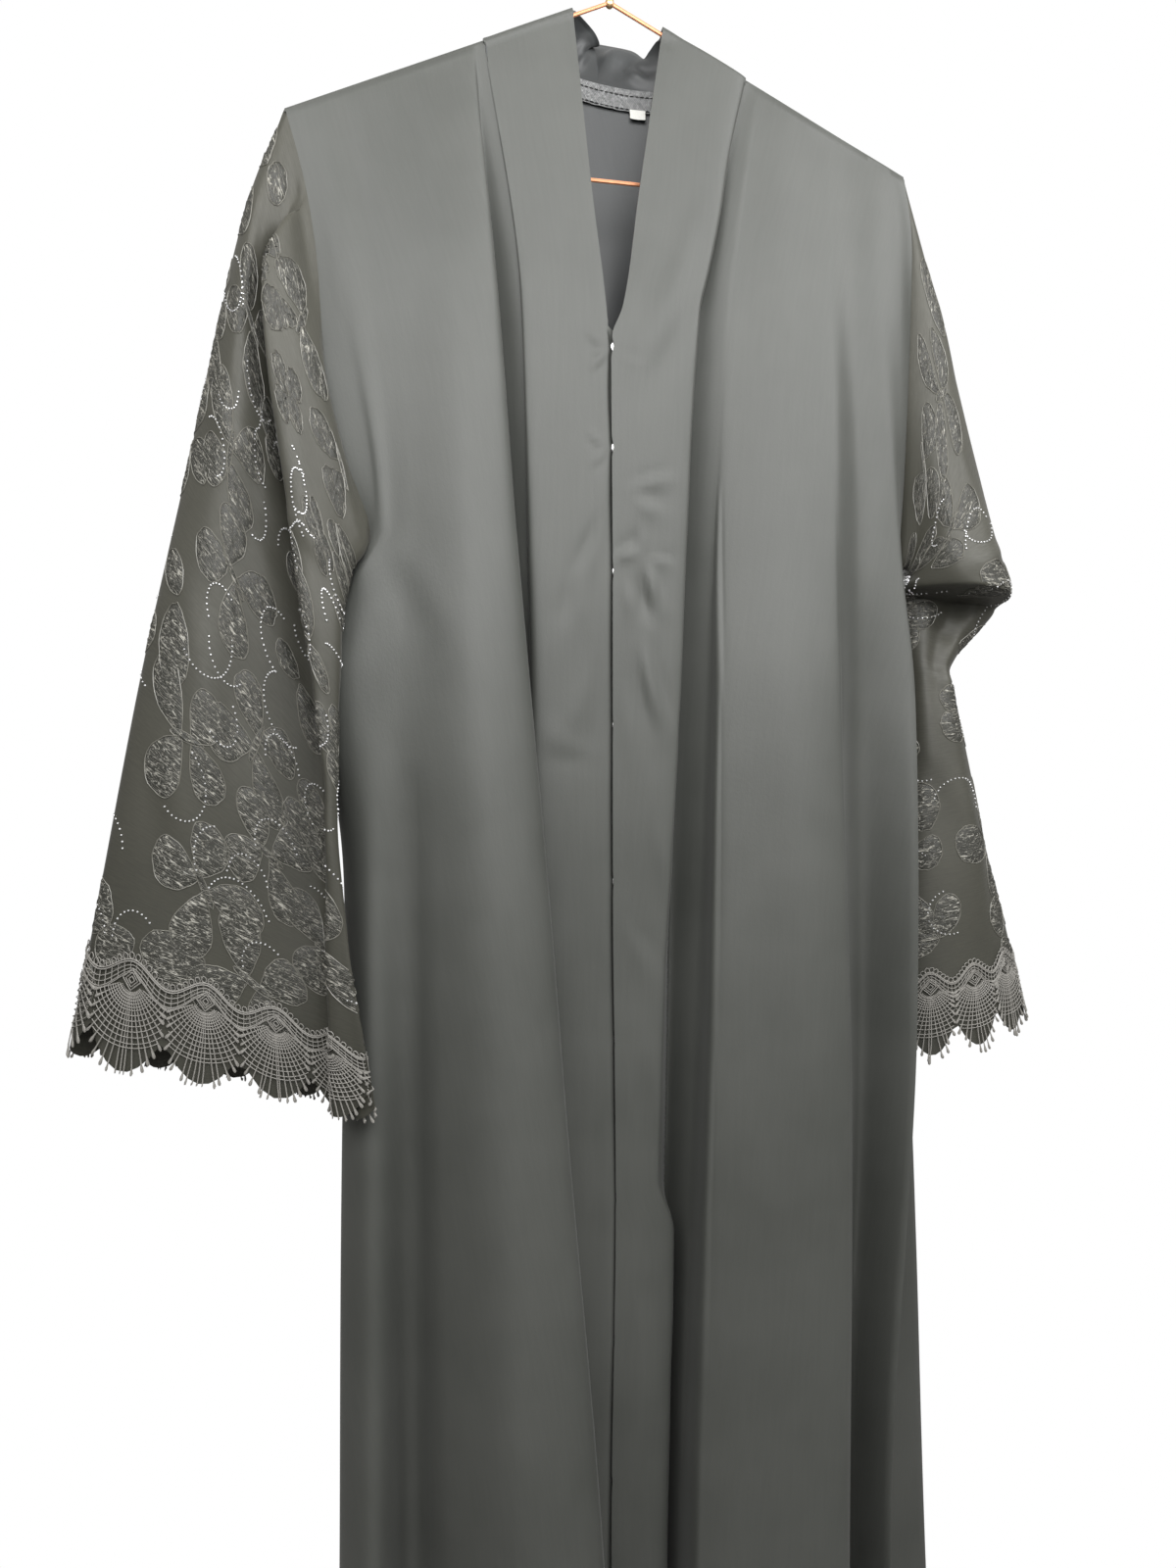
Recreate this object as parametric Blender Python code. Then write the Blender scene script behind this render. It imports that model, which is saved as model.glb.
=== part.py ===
"""Abaya cloak on a wire hanger, as separate cloth walls and a bent wire.

Frame: origin at the inside top of the hanger's hook, +Z up, the front of the
garment faces -Y, and +X is on the right of someone who looks at the front.
Cloth is built from smooth surfaces: a section is a curve through named folds,
and each fold's place is given at a few heights.  The wall stands half to each
side of that surface.
"""

import math

import bmesh
import bpy
import numpy as np

# ---------------------------------------------------------------- sizes (metres)
GAP = 0.0003                # between sewn pieces
ARMHOLE_GAP = {"front": 0.0020, "back": 0.0023}    # more, as both edges are curved
NECK_GAP = 0.0014
CLOTH = 0.0016              # wall of the body and the sleeves
BAND_CLOTH = 0.0022         # the front bands and the collar are double
TAPE_CLOTH = 0.0010
LACE_CLOTH = 0.0012

WIRE_RADIUS = 0.0014
HOOK_RADIUS = 0.0235        # to the middle of the wire
APEX_Z = -0.085             # where the two arms of the hanger meet
ARM_SLOPE = math.tan(math.radians(25.0))
BAR_Z = -0.208
BAR_BEND = 0.014            # radius where an arm turns back into the bar
ROLL = 0.0030               # radius of the cloth's bend over the wire
BAND_ROLL = 0.0039          # and of the thicker bands'

NECK_HALF = 0.086           # shoulder seam ends here, at the bands
TIP_HALF = 0.2165           # shoulder seam ends here, at the armholes
UNDERARM_Z = -0.462
HEM_Z = -1.510
NECK_DEPTH = 0.035          # how far the back neck hangs behind the hanger
V_BOTTOM_Z = -0.324
UNDERLAP = 0.010            # the left band runs on under the right one
UNDERLAP_START_Z = -0.316     # where the strip starts to sink behind the right band
UNDERLAP_TOP_Z = -0.3225      # and where it lies flat behind it

# Heights at which the folds' places are given, below the shoulder line.
HEIGHTS = (-0.30, -0.46, -0.56, -0.80, -1.13, HEM_Z)

# Each row is one fold: its x on the shoulder line and at each of HEIGHTS,
# then its y at each of HEIGHTS.
FRONT_LEFT = (
    ("band seam", (-.0860, -.0620, -.0570, -.0550, -.0550, -.0560, -.0600),
     (-.014, -.014, -.012, -.008, -.006, -.006)),
    ("tuck under lap", (-.0915, -.0710, -.0780, -.0800, -.0830, -.0880, -.1000),
     (-.017, -.021, -.023, -.022, -.018, -.014)),
    ("lap edge", (-.0990, -.0830, -.0685, -.0605, -.0410, -.0140, .0040),
     (-.024, -.035, -.040, -.047, -.052, -.056)),
    ("broad roll", (-.1180, -.1050, -.0980, -.0950, -.0840, -.0700, -.0600),
     (-.027, -.040, -.049, -.060, -.068, -.078)),
    ("valley", (-.1450, -.1370, -.1330, -.1440, -.1400, -.1360, -.1300),
     (-.018, -.022, -.022, -.019, -.016, -.010)),
    ("side roll", (-.1700, -.1600, -.1480, -.1640, -.1640, -.1620, -.1650),
     (-.018, -.026, -.028, -.028, -.034, -.044)),
    ("side edge", (-.1880, -.1740, -.1550, -.1760, -.1790, -.1810, -.1920),
     (-.017, -.025, -.012, -.006, -.010, -.012)),
    ("side pleat", (-.2030, -.1840, -.1590, -.1720, -.1680, -.1620, -.1600),
     (-.015, -.022, .008, .016, .020, .022)),
    ("side seam", (-.2165, -.1945, -.1620, -.1760, -.1780, -.1800, -.1950),
     (-.012, -.018, .026, .044, .052, .060)),
)
FRONT_RIGHT = (
    ("band seam", (.0860, .0605, .0500, .0470, .0410, .0365, .0350),
     (-.014, -.014, -.010, -.002, .001, .002)),
    ("valley by band", (.0940, .0700, .0600, .0560, .0490, .0430, .0410),
     (-.013, -.014, -.010, .003, .006, .010)),
    ("crisp ridge", (.1040, .0830, .0720, .0680, .0605, .0485, .0440),
     (-.014, -.018, -.026, -.037, -.042, -.050)),
    ("broad roll", (.1290, .1200, .1150, .1120, .1080, .1000, .0950),
     (-.020, -.033, -.042, -.052, -.060, -.070)),
    ("second ridge", (.1570, .1560, .1530, .1540, .1590, .1540, .1500),
     (-.018, -.029, -.036, -.043, -.048, -.058)),
    ("second valley", (.1760, .1780, .1780, .1740, .1700, .1620, .1580),
     (-.015, -.018, -.014, -.005, -.002, .002)),
    ("front edge", (.1900, .1950, .2080, .2160, .2130, .1920, .1900),
     (-.014, -.018, -.022, -.029, -.032, -.040)),
    ("deep pleat", (.2010, .2060, .2110, .2000, .1850, .1720, .1650),
     (-.012, -.010, .004, .016, .024, .026)),
    ("side edge", (.2090, .2140, .2140, .2170, .2520, .2680, .2850),
     (-.009, -.003, .036, .064, .070, .074)),
    ("side seam", (.2165, .2215, .2160, .2120, .2330, .2400, .2500),
     (-.004, .006, .048, .076, .082, .088)),
)
# The back's own folds, between the two side seams.
BACK = (
    ("left ridge", (-.1950, -.1800, -.1560, -.1720, -.1780, -.1800, -.2000),
     (.030, .030, .044, .066, .078, .090)),
    ("left valley", (-.1650, -.1520, -.1380, -.1460, -.1500, -.1520, -.1550),
     (.022, .030, .034, .040, .042, .042)),
    ("second ridge", (-.1300, -.1150, -.1100, -.1100, -.1120, -.1150, -.1180),
     (.028, .042, .052, .068, .084, .096)),
    ("left neck point", (-.0860, -.0780, -.0750, -.0750, -.0750, -.0740, -.0740),
     (.030, .034, .037, .042, .044, .046)),
    ("third ridge", (-.0450, -.0400, -.0380, -.0370, -.0350, -.0330, -.0300),
     (.037, .048, .056, .070, .086, .100)),
    ("centre back", (.0000, .0000, .0020, .0040, .0040, .0050, .0060),
     (.037, .040, .042, .044, .046, .046)),
    ("fourth ridge", (.0450, .0430, .0440, .0450, .0460, .0480, .0500),
     (.036, .046, .054, .066, .082, .094)),
    ("right neck point", (.0860, .0800, .0840, .0850, .0860, .0880, .0900),
     (.030, .034, .036, .040, .042, .042)),
    ("fifth ridge", (.1300, .1220, .1240, .1250, .1300, .1320, .1350),
     (.028, .042, .052, .068, .084, .098)),
    ("right valley", (.1650, .1600, .1620, .1650, .1720, .1750, .1800),
     (.022, .030, .036, .042, .044, .044)),
    ("right ridge", (.1950, .1950, .1960, .1980, .2120, .2180, .2250),
     (.026, .038, .052, .074, .090, .104)),
)

# The front edge of each armhole, from the shoulder tip to the underarm.
ARMHOLE_HEIGHTS = (-.233, -.288, -.352, -.415, UNDERARM_Z)
ARMHOLE_X = {
    "left": (-.2035, -.1955, -.1915, -.1770, -.1620),
    "right": (.2230, .2215, .2195, .2180, .2160),
}
ARMHOLE_OPENING = 0.044     # from the front edge to the back edge, at the widest

# Bands.  x of the edge towards the opening, above the foot of the V and below.
BAND_EDGE_HEIGHTS = (-.219, -.300, V_BOTTOM_Z, -.48, -.69, -.90, -1.13, HEM_Z)
BAND_EDGE_X = {
    "left": (-.0155, -.0065, -.0046, -.0035, -.0030, -.0010, -.0040, -.0040),
    "right": (.0180, .0052, -.0026, -.0020, -.0018, .0002, -.0028, -.0028),
}
BAND_TOP_X = {"left": -.0270, "right": .0370}       # where it crosses the wire
BAND_FACE_Y = {"left": -.0165, "right": -.0185}
UNDERLAP_Y = -.0140
# The right band folds back on itself below the chest: x of that fold.
BAND_FOLD_HEIGHTS = (-.21, -.30, -.46, -.56, -.78, -.890, -.925, -1.13, HEM_Z)
BAND_FOLD_X = (.0740, .0575, .0470, .0425, .0310, .0280, .0375, .0330, .0300)
# Collar: the bands' free edge behind the neck, from the wire to centre back.
COLLAR_EDGE = {
    "left": ((-.0220, .018, -.0815), (-.0120, .042, -.0785),
             (-.0050, .062, -.0760)),
    "right": ((.0420, .020, -.0925), (.0385, .044, -.0895),
              (.0200, .064, -.0755)),
}
COLLAR_CENTRE = (0.0, .073, -.0710)

# Sleeves.  The outer and inner rails, from the armhole (0) to the cuff (1).
SLEEVE_RAILS = {
    "left": (
        # place, outer x, outer z, inner x, inner z
        (0.00, -.2175, -.1830, -.1630, -.4620),
        (0.06, -.2280, -.2100, -.1670, -.4740),
        (0.12, -.2380, -.2400, -.1740, -.4850),
        (0.35, -.2630, -.3500, -.1800, -.5250),
        (0.65, -.2960, -.5150, -.1820, -.6450),
        (0.85, -.3160, -.6250, -.1760, -.7200),
        (1.00, -.3320, -.7150, -.1660, -.7820),
    ),
    "right": (
        (0.00, .2175, -.1830, .2170, -.4620),
        (0.20, .2440, -.2700, .2240, -.4660),
        (0.48, .2900, -.4400, .2230, -.4740),
        (0.57, .3030, -.4810, .2220, -.4770),
        (0.62, .3000, -.4920, .2240, -.4850),
        (0.72, .2630, -.5410, .2260, -.5350),
        (0.82, .2740, -.5920, .2230, -.6000),
        (1.00, .3080, -.7380, .2060, -.7600),
    ),
}
SLEEVE_LEVELS = {
    "left": (0.0, 0.12, 0.35, 0.65, 1.0),
    "right": (0.0, 0.20, 0.52, 0.585, 0.64, 0.80, 1.0),
}
# Each row is one fold: its share of the way from the outer to the inner rail,
# and its y, at each level.  The front comes first, then the back.
SLEEVE_FOLDS = {
    "left": (
        ("outer rail", (0, 0, 0, 0, 0), (.000, -.001, -.002, -.004, -.006)),
        ("crest", (.03, .06, .17, .22, .22), (-.004, -.012, -.020, -.024, -.026)),
        ("hollow", (.08, .13, .40, .50, .48), (-.007, -.013, -.020, -.020, -.018)),
        ("tuck", (.14, .25, .74, .90, .74), (-.010, -.014, -.020, -.026, -.030)),
        ("flap edge", (.22, .20, .62, .93, .88), (-.011, -.032, -.042, -.045, -.040)),
        ("flap face", (.60, .60, .82, .97, .95), (-.014, -.036, -.048, -.048, -.044)),
        ("inner rail", (1, 1, 1, 1, 1), (-.018, -.028, -.040, -.044, -.045)),
        ("inner back", (.94, .94, .95, .95, .94), (-.002, -.006, -.012, -.020, -.034)),
        ("back roll", (.78, .78, .80, .80, .80), (.018, .014, .012, .008, -.004)),
        ("back middle", (.52, .52, .55, .55, .52), (.028, .026, .020, .018, .014)),
        ("back hollow", (.28, .28, .30, .30, .28), (.024, .024, .016, .012, .006)),
        ("back crest", (.10, .10, .12, .12, .12), (.012, .014, .014, .012, .010)),
    ),
    "right": (
        ("outer rail", (0, 0, 0, 0, 0, 0, 0),
         (.000, .004, .006, .008, .018, .018, .012)),
        ("front outer", (.12, .22, .25, .25, .25, .25, .25),
         (-.004, -.012, -.028, -.026, .004, -.002, -.010)),
        ("front middle", (.45, .50, .50, .50, .50, .50, .50),
         (-.004, -.016, -.036, -.034, .008, -.004, -.014)),
        ("front inner", (.80, .78, .75, .75, .75, .76, .78),
         (-.002, -.014, -.034, -.032, .008, -.002, -.006)),
        ("inner rail", (1, 1, 1, 1, 1, 1, 1),
         (.004, .004, .000, .000, .020, .016, .012)),
        ("inner back", (.90, .90, .86, .86, .86, .86, .88),
         (.018, .024, .030, .032, .038, .028, .026)),
        ("back pleat", (.62, .64, .62, .62, .62, .60, .60),
         (.034, .042, .046, .050, .054, .030, .014)),
        ("back roll", (.36, .38, .38, .38, .38, .36, .34),
         (.032, .046, .062, .070, .086, .066, .052)),
        ("back outer", (.12, .14, .14, .14, .14, .14, .14),
         (.012, .026, .044, .050, .062, .050, .042)),
    ),
}
SLEEVE_END = 1.065          # the cloth runs on a little behind the lace

# Cuff lace, one scallop.  Sizes along the cuff and down from its highest point.
SCALLOPS_FRONT = 4
SCALLOPS_BACK = 5
LACE_HEIGHT = 0.068
LACE_DIP = 0.010            # the top edge falls this much between two scallops
LACE_VALLEY = 0.012         # the lower edge rises this much between two
LACE_START = 0.27           # of a scallop, from the outer rail to the first one
FAN_COLUMNS = 11            # rays with a gap between each two
RAY_SHARE = 0.35            # width of a ray, in gaps
FAN_RINGS = (0.50, 0.74, 0.81)      # solid to the first, cut through to the next
FAN_SQUEEZE = (0.0, 0.50, 0.24, 0.18, 0.0)     # how far the rays draw together
LACE_LIFT = CLOTH / 2 + LACE_CLOTH / 2 + 0.0016

SNAP_HEIGHTS = (-.3275, -.3955, -.479, -.5825, -.688, -.794, -.900, -.9955, -1.0915)
SNAP_RADIUS = 0.0042
SNAP_THICKNESS = 0.0014
TAPE_HALF_LENGTH = 0.070
TAPE_WIDTH = 0.0160
LABEL_X = 0.027
LABEL_WIDTH = 0.012
LABEL_DROP = 0.0075

# ------------------------------------------------------------ mesh resolution
UNDERARM_SHARE = 0.2103     # of the way from the shoulder tip to the hem
BODY_ROWS = (0.010, 0.035, 0.075, 0.120, 0.160, 0.190, UNDERARM_SHARE, 0.245, 0.285,
             0.340, 0.400, 0.465, 0.535, 0.610, 0.690, 0.780, 0.885, 1.0)
ROLL_ANGLES = (90.0, 45.0, 0.0)     # the first rows, over the wire
SEGMENTS = 2                        # between two folds
SLEEVE_SEGMENTS = {"left": 2, "right": 3}
SLEEVE_ROWS = {
    "left": (0, .05, .12, .20, .28, .37, .47, .57, .67, .78, .89, 1.0, SLEEVE_END, 1.12),
    "right": (0, .08, .18, .28, .38, .47, .53, .57, .60, .63, .68, .74, .80, .89,
              1.0, SLEEVE_END, 1.12),
}

# ------------------------------------------------------------------- colours
BLACK_SATIN = ("black satin", (0.055, 0.055, 0.052), 0.42, 0.0)
JACQUARD = ("black jacquard", (0.060, 0.058, 0.045), 0.50, 0.0)
LACE_THREAD = ("lace thread", (0.16, 0.155, 0.145), 0.60, 0.0)
TAPE_WEAVE = ("neck tape", (0.10, 0.10, 0.10), 0.70, 0.0)
WHITE_LABEL = ("white label", (0.75, 0.75, 0.72), 0.60, 0.0)
COPPER = ("copper wire", (0.78, 0.42, 0.28), 0.25, 1.0)
SNAP_METAL = ("snap metal", (0.55, 0.55, 0.56), 0.30, 1.0)


# ------------------------------------------------------------ curves and sections
def smooth(knots, values):
    """A curve through values at knots, with no overshoot, as a function."""
    order = np.argsort(knots)
    t = np.asarray(knots, float)[order]
    v = np.asarray(values, float)[order]
    step = np.diff(t)
    rise = np.diff(v) / step
    slope = np.zeros_like(v)
    slope[0], slope[-1] = rise[0], rise[-1]
    for i in range(1, len(t) - 1):
        if rise[i - 1] * rise[i] > 0:
            a = 2 * step[i] + step[i - 1]
            b = step[i] + 2 * step[i - 1]
            slope[i] = (a + b) / (a / rise[i - 1] + b / rise[i])

    def at(place):
        if place <= t[0]:
            return v[0] + slope[0] * (place - t[0])
        if place >= t[-1]:
            return v[-1] + slope[-1] * (place - t[-1])
        i = int(np.searchsorted(t, place)) - 1
        u = (place - t[i]) / step[i]
        level = (1 + 2 * u) * (1 - u) ** 2 * v[i] + u * u * (3 - 2 * u) * v[i + 1]
        lean = u * (1 - u) ** 2 * slope[i] + u * u * (u - 1) * slope[i + 1]
        return level + step[i] * lean

    return at


def through(points, segments, closed=False):
    """Points on a centripetal Catmull-Rom curve through the given points."""
    p = [np.asarray(point, float) for point in points]
    if closed:
        p = [p[-1]] + p + p[:2]
    else:
        p = [2 * p[0] - p[1]] + p + [2 * p[-1] - p[-2]]
    out = []
    for a, b, c, d in zip(p, p[1:], p[2:], p[3:]):
        t1 = max(np.linalg.norm(b - a), 1e-6) ** 0.5
        t2 = t1 + max(np.linalg.norm(c - b), 1e-6) ** 0.5
        t3 = t2 + max(np.linalg.norm(d - c), 1e-6) ** 0.5
        for k in range(segments):
            t = t1 + (t2 - t1) * k / segments
            ab = ((t1 - t) * a + t * b) / t1
            bc = ((t2 - t) * b + (t - t1) * c) / (t2 - t1)
            cd = ((t3 - t) * c + (t - t2) * d) / (t3 - t2)
            abc = ((t2 - t) * ab + t * bc) / t2
            bcd = ((t3 - t) * bc + (t - t1) * cd) / (t3 - t1)
            out.append(((t2 - t) * abc + (t - t1) * bcd) / (t2 - t1))
    if not closed:
        out.append(p[-2])
    return np.array(out)


def unit(vectors):
    """Vectors of length one."""
    length = np.linalg.norm(vectors, axis=-1, keepdims=True)
    return vectors / np.maximum(length, 1e-12)


def wire_z(x):
    """Height of the middle of the hanger's arm at x."""
    return APEX_Z - ARM_SLOPE * abs(x)


def shoulder_z(x):
    """Height of the cloth where it lies over the wire."""
    return wire_z(x) + ROLL


def neckline(x):
    """A point of the back neck seam."""
    share = max(0.0, 1 - (x / NECK_HALF) ** 2)
    return np.array((x, GAP / 2 + NECK_DEPTH * share, shoulder_z(NECK_HALF)))


def armhole_opening(z):
    """How far apart the armhole's front and back edges are at a height."""
    top = shoulder_z(TIP_HALF)
    share = min(1.0, max(0.0, (top - z) / (top - UNDERARM_Z)))
    return ARMHOLE_OPENING * math.sin(math.pi * share) ** 0.8 if share < 1 else 0.0


# ------------------------------------------------------------------- panels
def fold_line(fold, side, face):
    """The top height of one fold, and its x and y as functions of height.

    face is -1 on a front and 1 on the back, the way the cloth faces at the wire.
    """
    name, x_row, y_row = fold
    on_neck = face > 0 and abs(x_row[0]) < NECK_HALF
    top = shoulder_z(NECK_HALF if on_neck else x_row[0])
    y_top = neckline(x_row[0])[1] if on_neck else face * ROLL
    y_at = smooth((top,) + HEIGHTS, (y_top,) + y_row)
    if name == "side seam":
        x_at = smooth((top,) + ARMHOLE_HEIGHTS + HEIGHTS[2:],
                      (x_row[0],) + ARMHOLE_X[side] + x_row[3:])
    else:
        x_at = smooth((top,) + HEIGHTS, x_row)
    return top, x_at, y_at


def fold_points(fold, side, face, rows):
    """One fold's points down a panel, below the rows that lie over the wire."""
    top, x_at, y_at = fold_line(fold, side, face)
    points = []
    for share in rows:
        z = top + (HEM_Z - top) * share
        spread = armhole_opening(z) if fold[0] == "side seam" and face > 0 else 0.0
        points.append((x_at(z), y_at(z) + spread, z))
    return points


def panel(folds, sides, face, rows, segments):
    """Grid of a panel's middle surface: rows from the shoulder to the hem."""
    lines = [fold_points(fold, side, face, (0.0,) + rows)
             for fold, side in zip(folds, sides)]
    below = [through([line[r] for line in lines], segments) for r in range(len(rows) + 1)]
    clear = WIRE_RADIUS + GAP + CLOTH / 2
    for row in below[1:]:
        beside_wire = row[:, 2] > BAR_Z - 0.03
        row[beside_wire, 1] = face * np.maximum(face * row[beside_wire, 1], clear)
    top = below[0][:, 0]
    return np.array([[over_wire(x, face, angle) for x in top] for angle in ROLL_ANGLES]
                    + below[1:])


def over_wire(x, face, angle):
    """A point where a panel bends over the wire, or hangs from the back neck seam."""
    turn = math.radians(angle)
    if face > 0 and abs(x) < NECK_HALF - 1e-6:
        return neckline(x) - (0, 0, ROLL * (1 - math.sin(turn)))
    y = face * max(GAP / 2, ROLL * math.cos(turn))
    return np.array((x, y, wire_z(x) + ROLL * math.sin(turn)))


def front_left(rows=BODY_ROWS, segments=SEGMENTS):
    """Left front, from the band seam to the side seam."""
    return panel(FRONT_LEFT, ["left"] * len(FRONT_LEFT), -1, rows, segments)


def front_right(rows=BODY_ROWS, segments=SEGMENTS):
    """Right front, from the band seam to the side seam."""
    return panel(FRONT_RIGHT, ["right"] * len(FRONT_RIGHT), -1, rows, segments)


def back(rows=BODY_ROWS, segments=SEGMENTS):
    """Back, from the left side seam to the right one."""
    folds = (FRONT_LEFT[-1],) + BACK + (FRONT_RIGHT[-1],)
    sides = ["left"] * (len(folds) - 1) + ["right"]
    return panel(folds, sides, 1, rows, segments)


# -------------------------------------------------------------- bands and collar
def band(side, seam_front, seam_neck, segments=1):
    """Grid of a band's middle surface, from the hem over the wire to centre back.

    seam_front runs from the hem up to the wire and seam_neck from there to the
    centre back.  Columns run from the seam to the band's free edge.
    """
    across = band_front_left if side == "left" else band_front_right
    rows = [across(point) for point in seam_front]
    wire_x = BAND_TOP_X[side]
    edge = through([(wire_x, 0, shoulder_z(wire_x)), *COLLAR_EDGE[side], COLLAR_CENTRE], 8)
    for i, seam in enumerate(seam_neck):
        free = edge[round((i + 1) / len(seam_neck) * (len(edge) - 1))]
        rows.append(collar_section(seam, free, len(rows[0])))
    grid = np.array([through(row, segments) for row in rows])
    clear_of_wire(grid, BAND_ROLL)
    along = tangents(grid[:, :1], 0)[:, 0]
    across = grid[:, 1] - grid[:, 0]
    across -= (across * along).sum(axis=1, keepdims=True) * along
    gaps = np.full((len(grid), 1), GAP)
    gaps[len(seam_front) - 1:] = NECK_GAP
    grid[:, 0] += unit(across) * gaps
    return grid


def clear_of_wire(grid, distance):
    """Move a grid's points outwards from the hanger's arms, to a distance at least."""
    for point in grid.reshape(-1, 3):
        away = np.array((point[1], point[2] - wire_z(point[0])))
        reach = np.linalg.norm(away)
        if reach < distance:
            point[1:] += away * (distance / reach - 1)


def band_edge(side, z_seam):
    """x and z of a band's edge towards the opening, opposite a point of its seam."""
    top = shoulder_z(NECK_HALF)
    wire_x = BAND_TOP_X[side]
    share = min(1.0, max(0.0, (z_seam - V_BOTTOM_Z) / (top - V_BOTTOM_Z)))
    z = z_seam + share * (shoulder_z(wire_x) - top)
    x_at = smooth((shoulder_z(wire_x),) + BAND_EDGE_HEIGHTS, (wire_x,) + BAND_EDGE_X[side])
    return x_at(z), z


def band_depth(side, seam):
    """y of a band's face opposite a point of its seam: flat against the wire on top."""
    top = shoulder_z(NECK_HALF)
    if seam[2] > top - ROLL - 1e-6:
        return seam[1]
    return smooth((top - ROLL, -0.25, -0.32, HEM_Z),
                  (-ROLL, -0.0125, BAND_FACE_Y[side], BAND_FACE_Y[side]))(seam[2])


def band_front_left(seam):
    """Left band: flat, with a strip that runs on under the right band."""
    x_edge, z_edge = band_edge("left", seam[2])
    y_face = band_depth("left", seam)
    sunk = (UNDERLAP_START_Z - seam[2]) / (UNDERLAP_START_Z - UNDERLAP_TOP_Z)
    lap = min(1.0, max(0.0, sunk))
    y_lap = y_face + lap * (UNDERLAP_Y - y_face)
    middle = (seam + (x_edge, y_face, z_edge)) / 2
    turn = 0.003
    return [seam, middle,
            (x_edge - turn, y_face, z_edge - turn * 0.4 * (1 - lap)),
            (x_edge + lap * turn * 0.6, y_lap, z_edge),
            (x_edge + lap * UNDERLAP + 0.0005, y_lap, z_edge)]


def band_front_right(seam):
    """Right band: its seam side is folded back into the valley beside it."""
    x_edge, z_edge = band_edge("right", seam[2])
    y_face = band_depth("right", seam)
    x_fold = smooth((shoulder_z(NECK_HALF),) + BAND_FOLD_HEIGHTS,
                    (NECK_HALF - 0.004,) + BAND_FOLD_X)(seam[2])
    x_fold = min(x_fold, seam[0] - 0.004)
    share = (seam[0] - x_fold) / (seam[0] - x_edge)
    z_fold = seam[2] + share * (z_edge - seam[2])
    return [seam, (x_fold, y_face - 0.001, z_fold),
            ((x_fold + x_edge) / 2, y_face - 0.002, (z_fold + z_edge) / 2),
            (x_edge + 0.004, y_face, z_edge), (x_edge, y_face, z_edge)]


def collar_section(seam, free, count):
    """Points from the back neck seam up to the collar's free edge, a little bowed."""
    points = []
    for k in range(count):
        share = k / (count - 1)
        bow = 0.004 * math.sin(math.pi * share)
        points.append(seam + share * (free - seam) + (0, -bow, bow))
    return points


# ------------------------------------------------------------------- sleeves
def armhole_point(side, share, at_back):
    """A point of an armhole edge, from the shoulder tip (0) to the underarm (1)."""
    folds = FRONT_LEFT if side == "left" else FRONT_RIGHT
    top, x_at, y_at = fold_line(folds[-1], side, -1)
    z = top + (UNDERARM_Z - top) * share
    outward = ARMHOLE_GAP["back" if at_back else "front"] * (-1 if side == "left" else 1)
    y = y_at(z) if share > 0.02 else 0.0
    if at_back and share > 0.02:
        y += max(armhole_opening(z), 2 * ROLL) if share < 0.9 else armhole_opening(z)
    return np.array((x_at(z) + outward, y, z))


def sleeve_ring(side, place, segments):
    """One ring of a sleeve, from its outer rail down the front and up the back."""
    rails = np.array(SLEEVE_RAILS[side])
    outer_x, outer_z, inner_x, inner_z = (smooth(rails[:, 0], rails[:, k])(place)
                                          for k in (1, 2, 3, 4))
    levels = SLEEVE_LEVELS[side]
    near_armhole = max(0.0, 1 - place / levels[1]) ** 2
    points = []
    names = [fold[0] for fold in SLEEVE_FOLDS[side]]
    for i, (name, shares, y_row) in enumerate(SLEEVE_FOLDS[side]):
        at_back = i > names.index("inner rail")
        seam = armhole_point(side, shares[0], at_back)
        share = smooth(levels, shares)(place)
        x = outer_x + share * (inner_x - outer_x)
        z = outer_z + share * (inner_z - outer_z)
        first = rails[0]
        x += near_armhole * (seam[0] - first[1] - shares[0] * (first[3] - first[1]))
        z += near_armhole * (seam[2] - first[2] - shares[0] * (first[4] - first[2]))
        y = smooth(levels, (seam[1],) + tuple(y_row[1:]))(place)
        points.append((x, y, z))
    return through(points, segments, closed=True)


def sleeve(side, rows, segments):
    """Grid of a sleeve's middle surface, rings from the armhole to the cuff."""
    return np.array([sleeve_ring(side, place, segments) for place in rows])


# ----------------------------------------------------------------------- lace
def arc_columns(ring):
    """Length round a closed ring up to each of its points, and back to the first."""
    steps = np.linalg.norm(np.roll(ring, -1, axis=0) - ring, axis=1)
    return np.concatenate(([0.0], np.cumsum(steps)))


def mixed(field, row, column):
    """A ringed grid's value at a fractional row and column."""
    r = min(int(row), len(field) - 2)
    c = int(column) % field.shape[1]
    d = (c + 1) % field.shape[1]
    u, v = column - int(column), row - r
    upper = field[r, c] * (1 - u) + field[r, d] * u
    lower = field[r + 1, c] * (1 - u) + field[r + 1, d] * u
    return upper * (1 - v) + lower * v


def corner_factor(grid):
    """How much further to move outwards at a ring's sharp turns."""
    after = unit(np.roll(grid, -1, axis=1) - grid)
    half_turn = np.linalg.norm(after + np.roll(after, 1, axis=1), axis=2, keepdims=True) / 2
    return np.minimum(2.2, 1 / np.maximum(half_turn, 1e-3))


def lace_edges(share):
    """Distance below the highest point of a scallop's top and lower edges."""
    hump = math.cos(math.pi * (share - 0.5)) ** 2
    top = LACE_DIP * (1 - hump)
    bottom = LACE_HEIGHT - LACE_VALLEY * (1 - math.sin(math.pi * share) ** 0.7)
    return top, bottom


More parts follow.
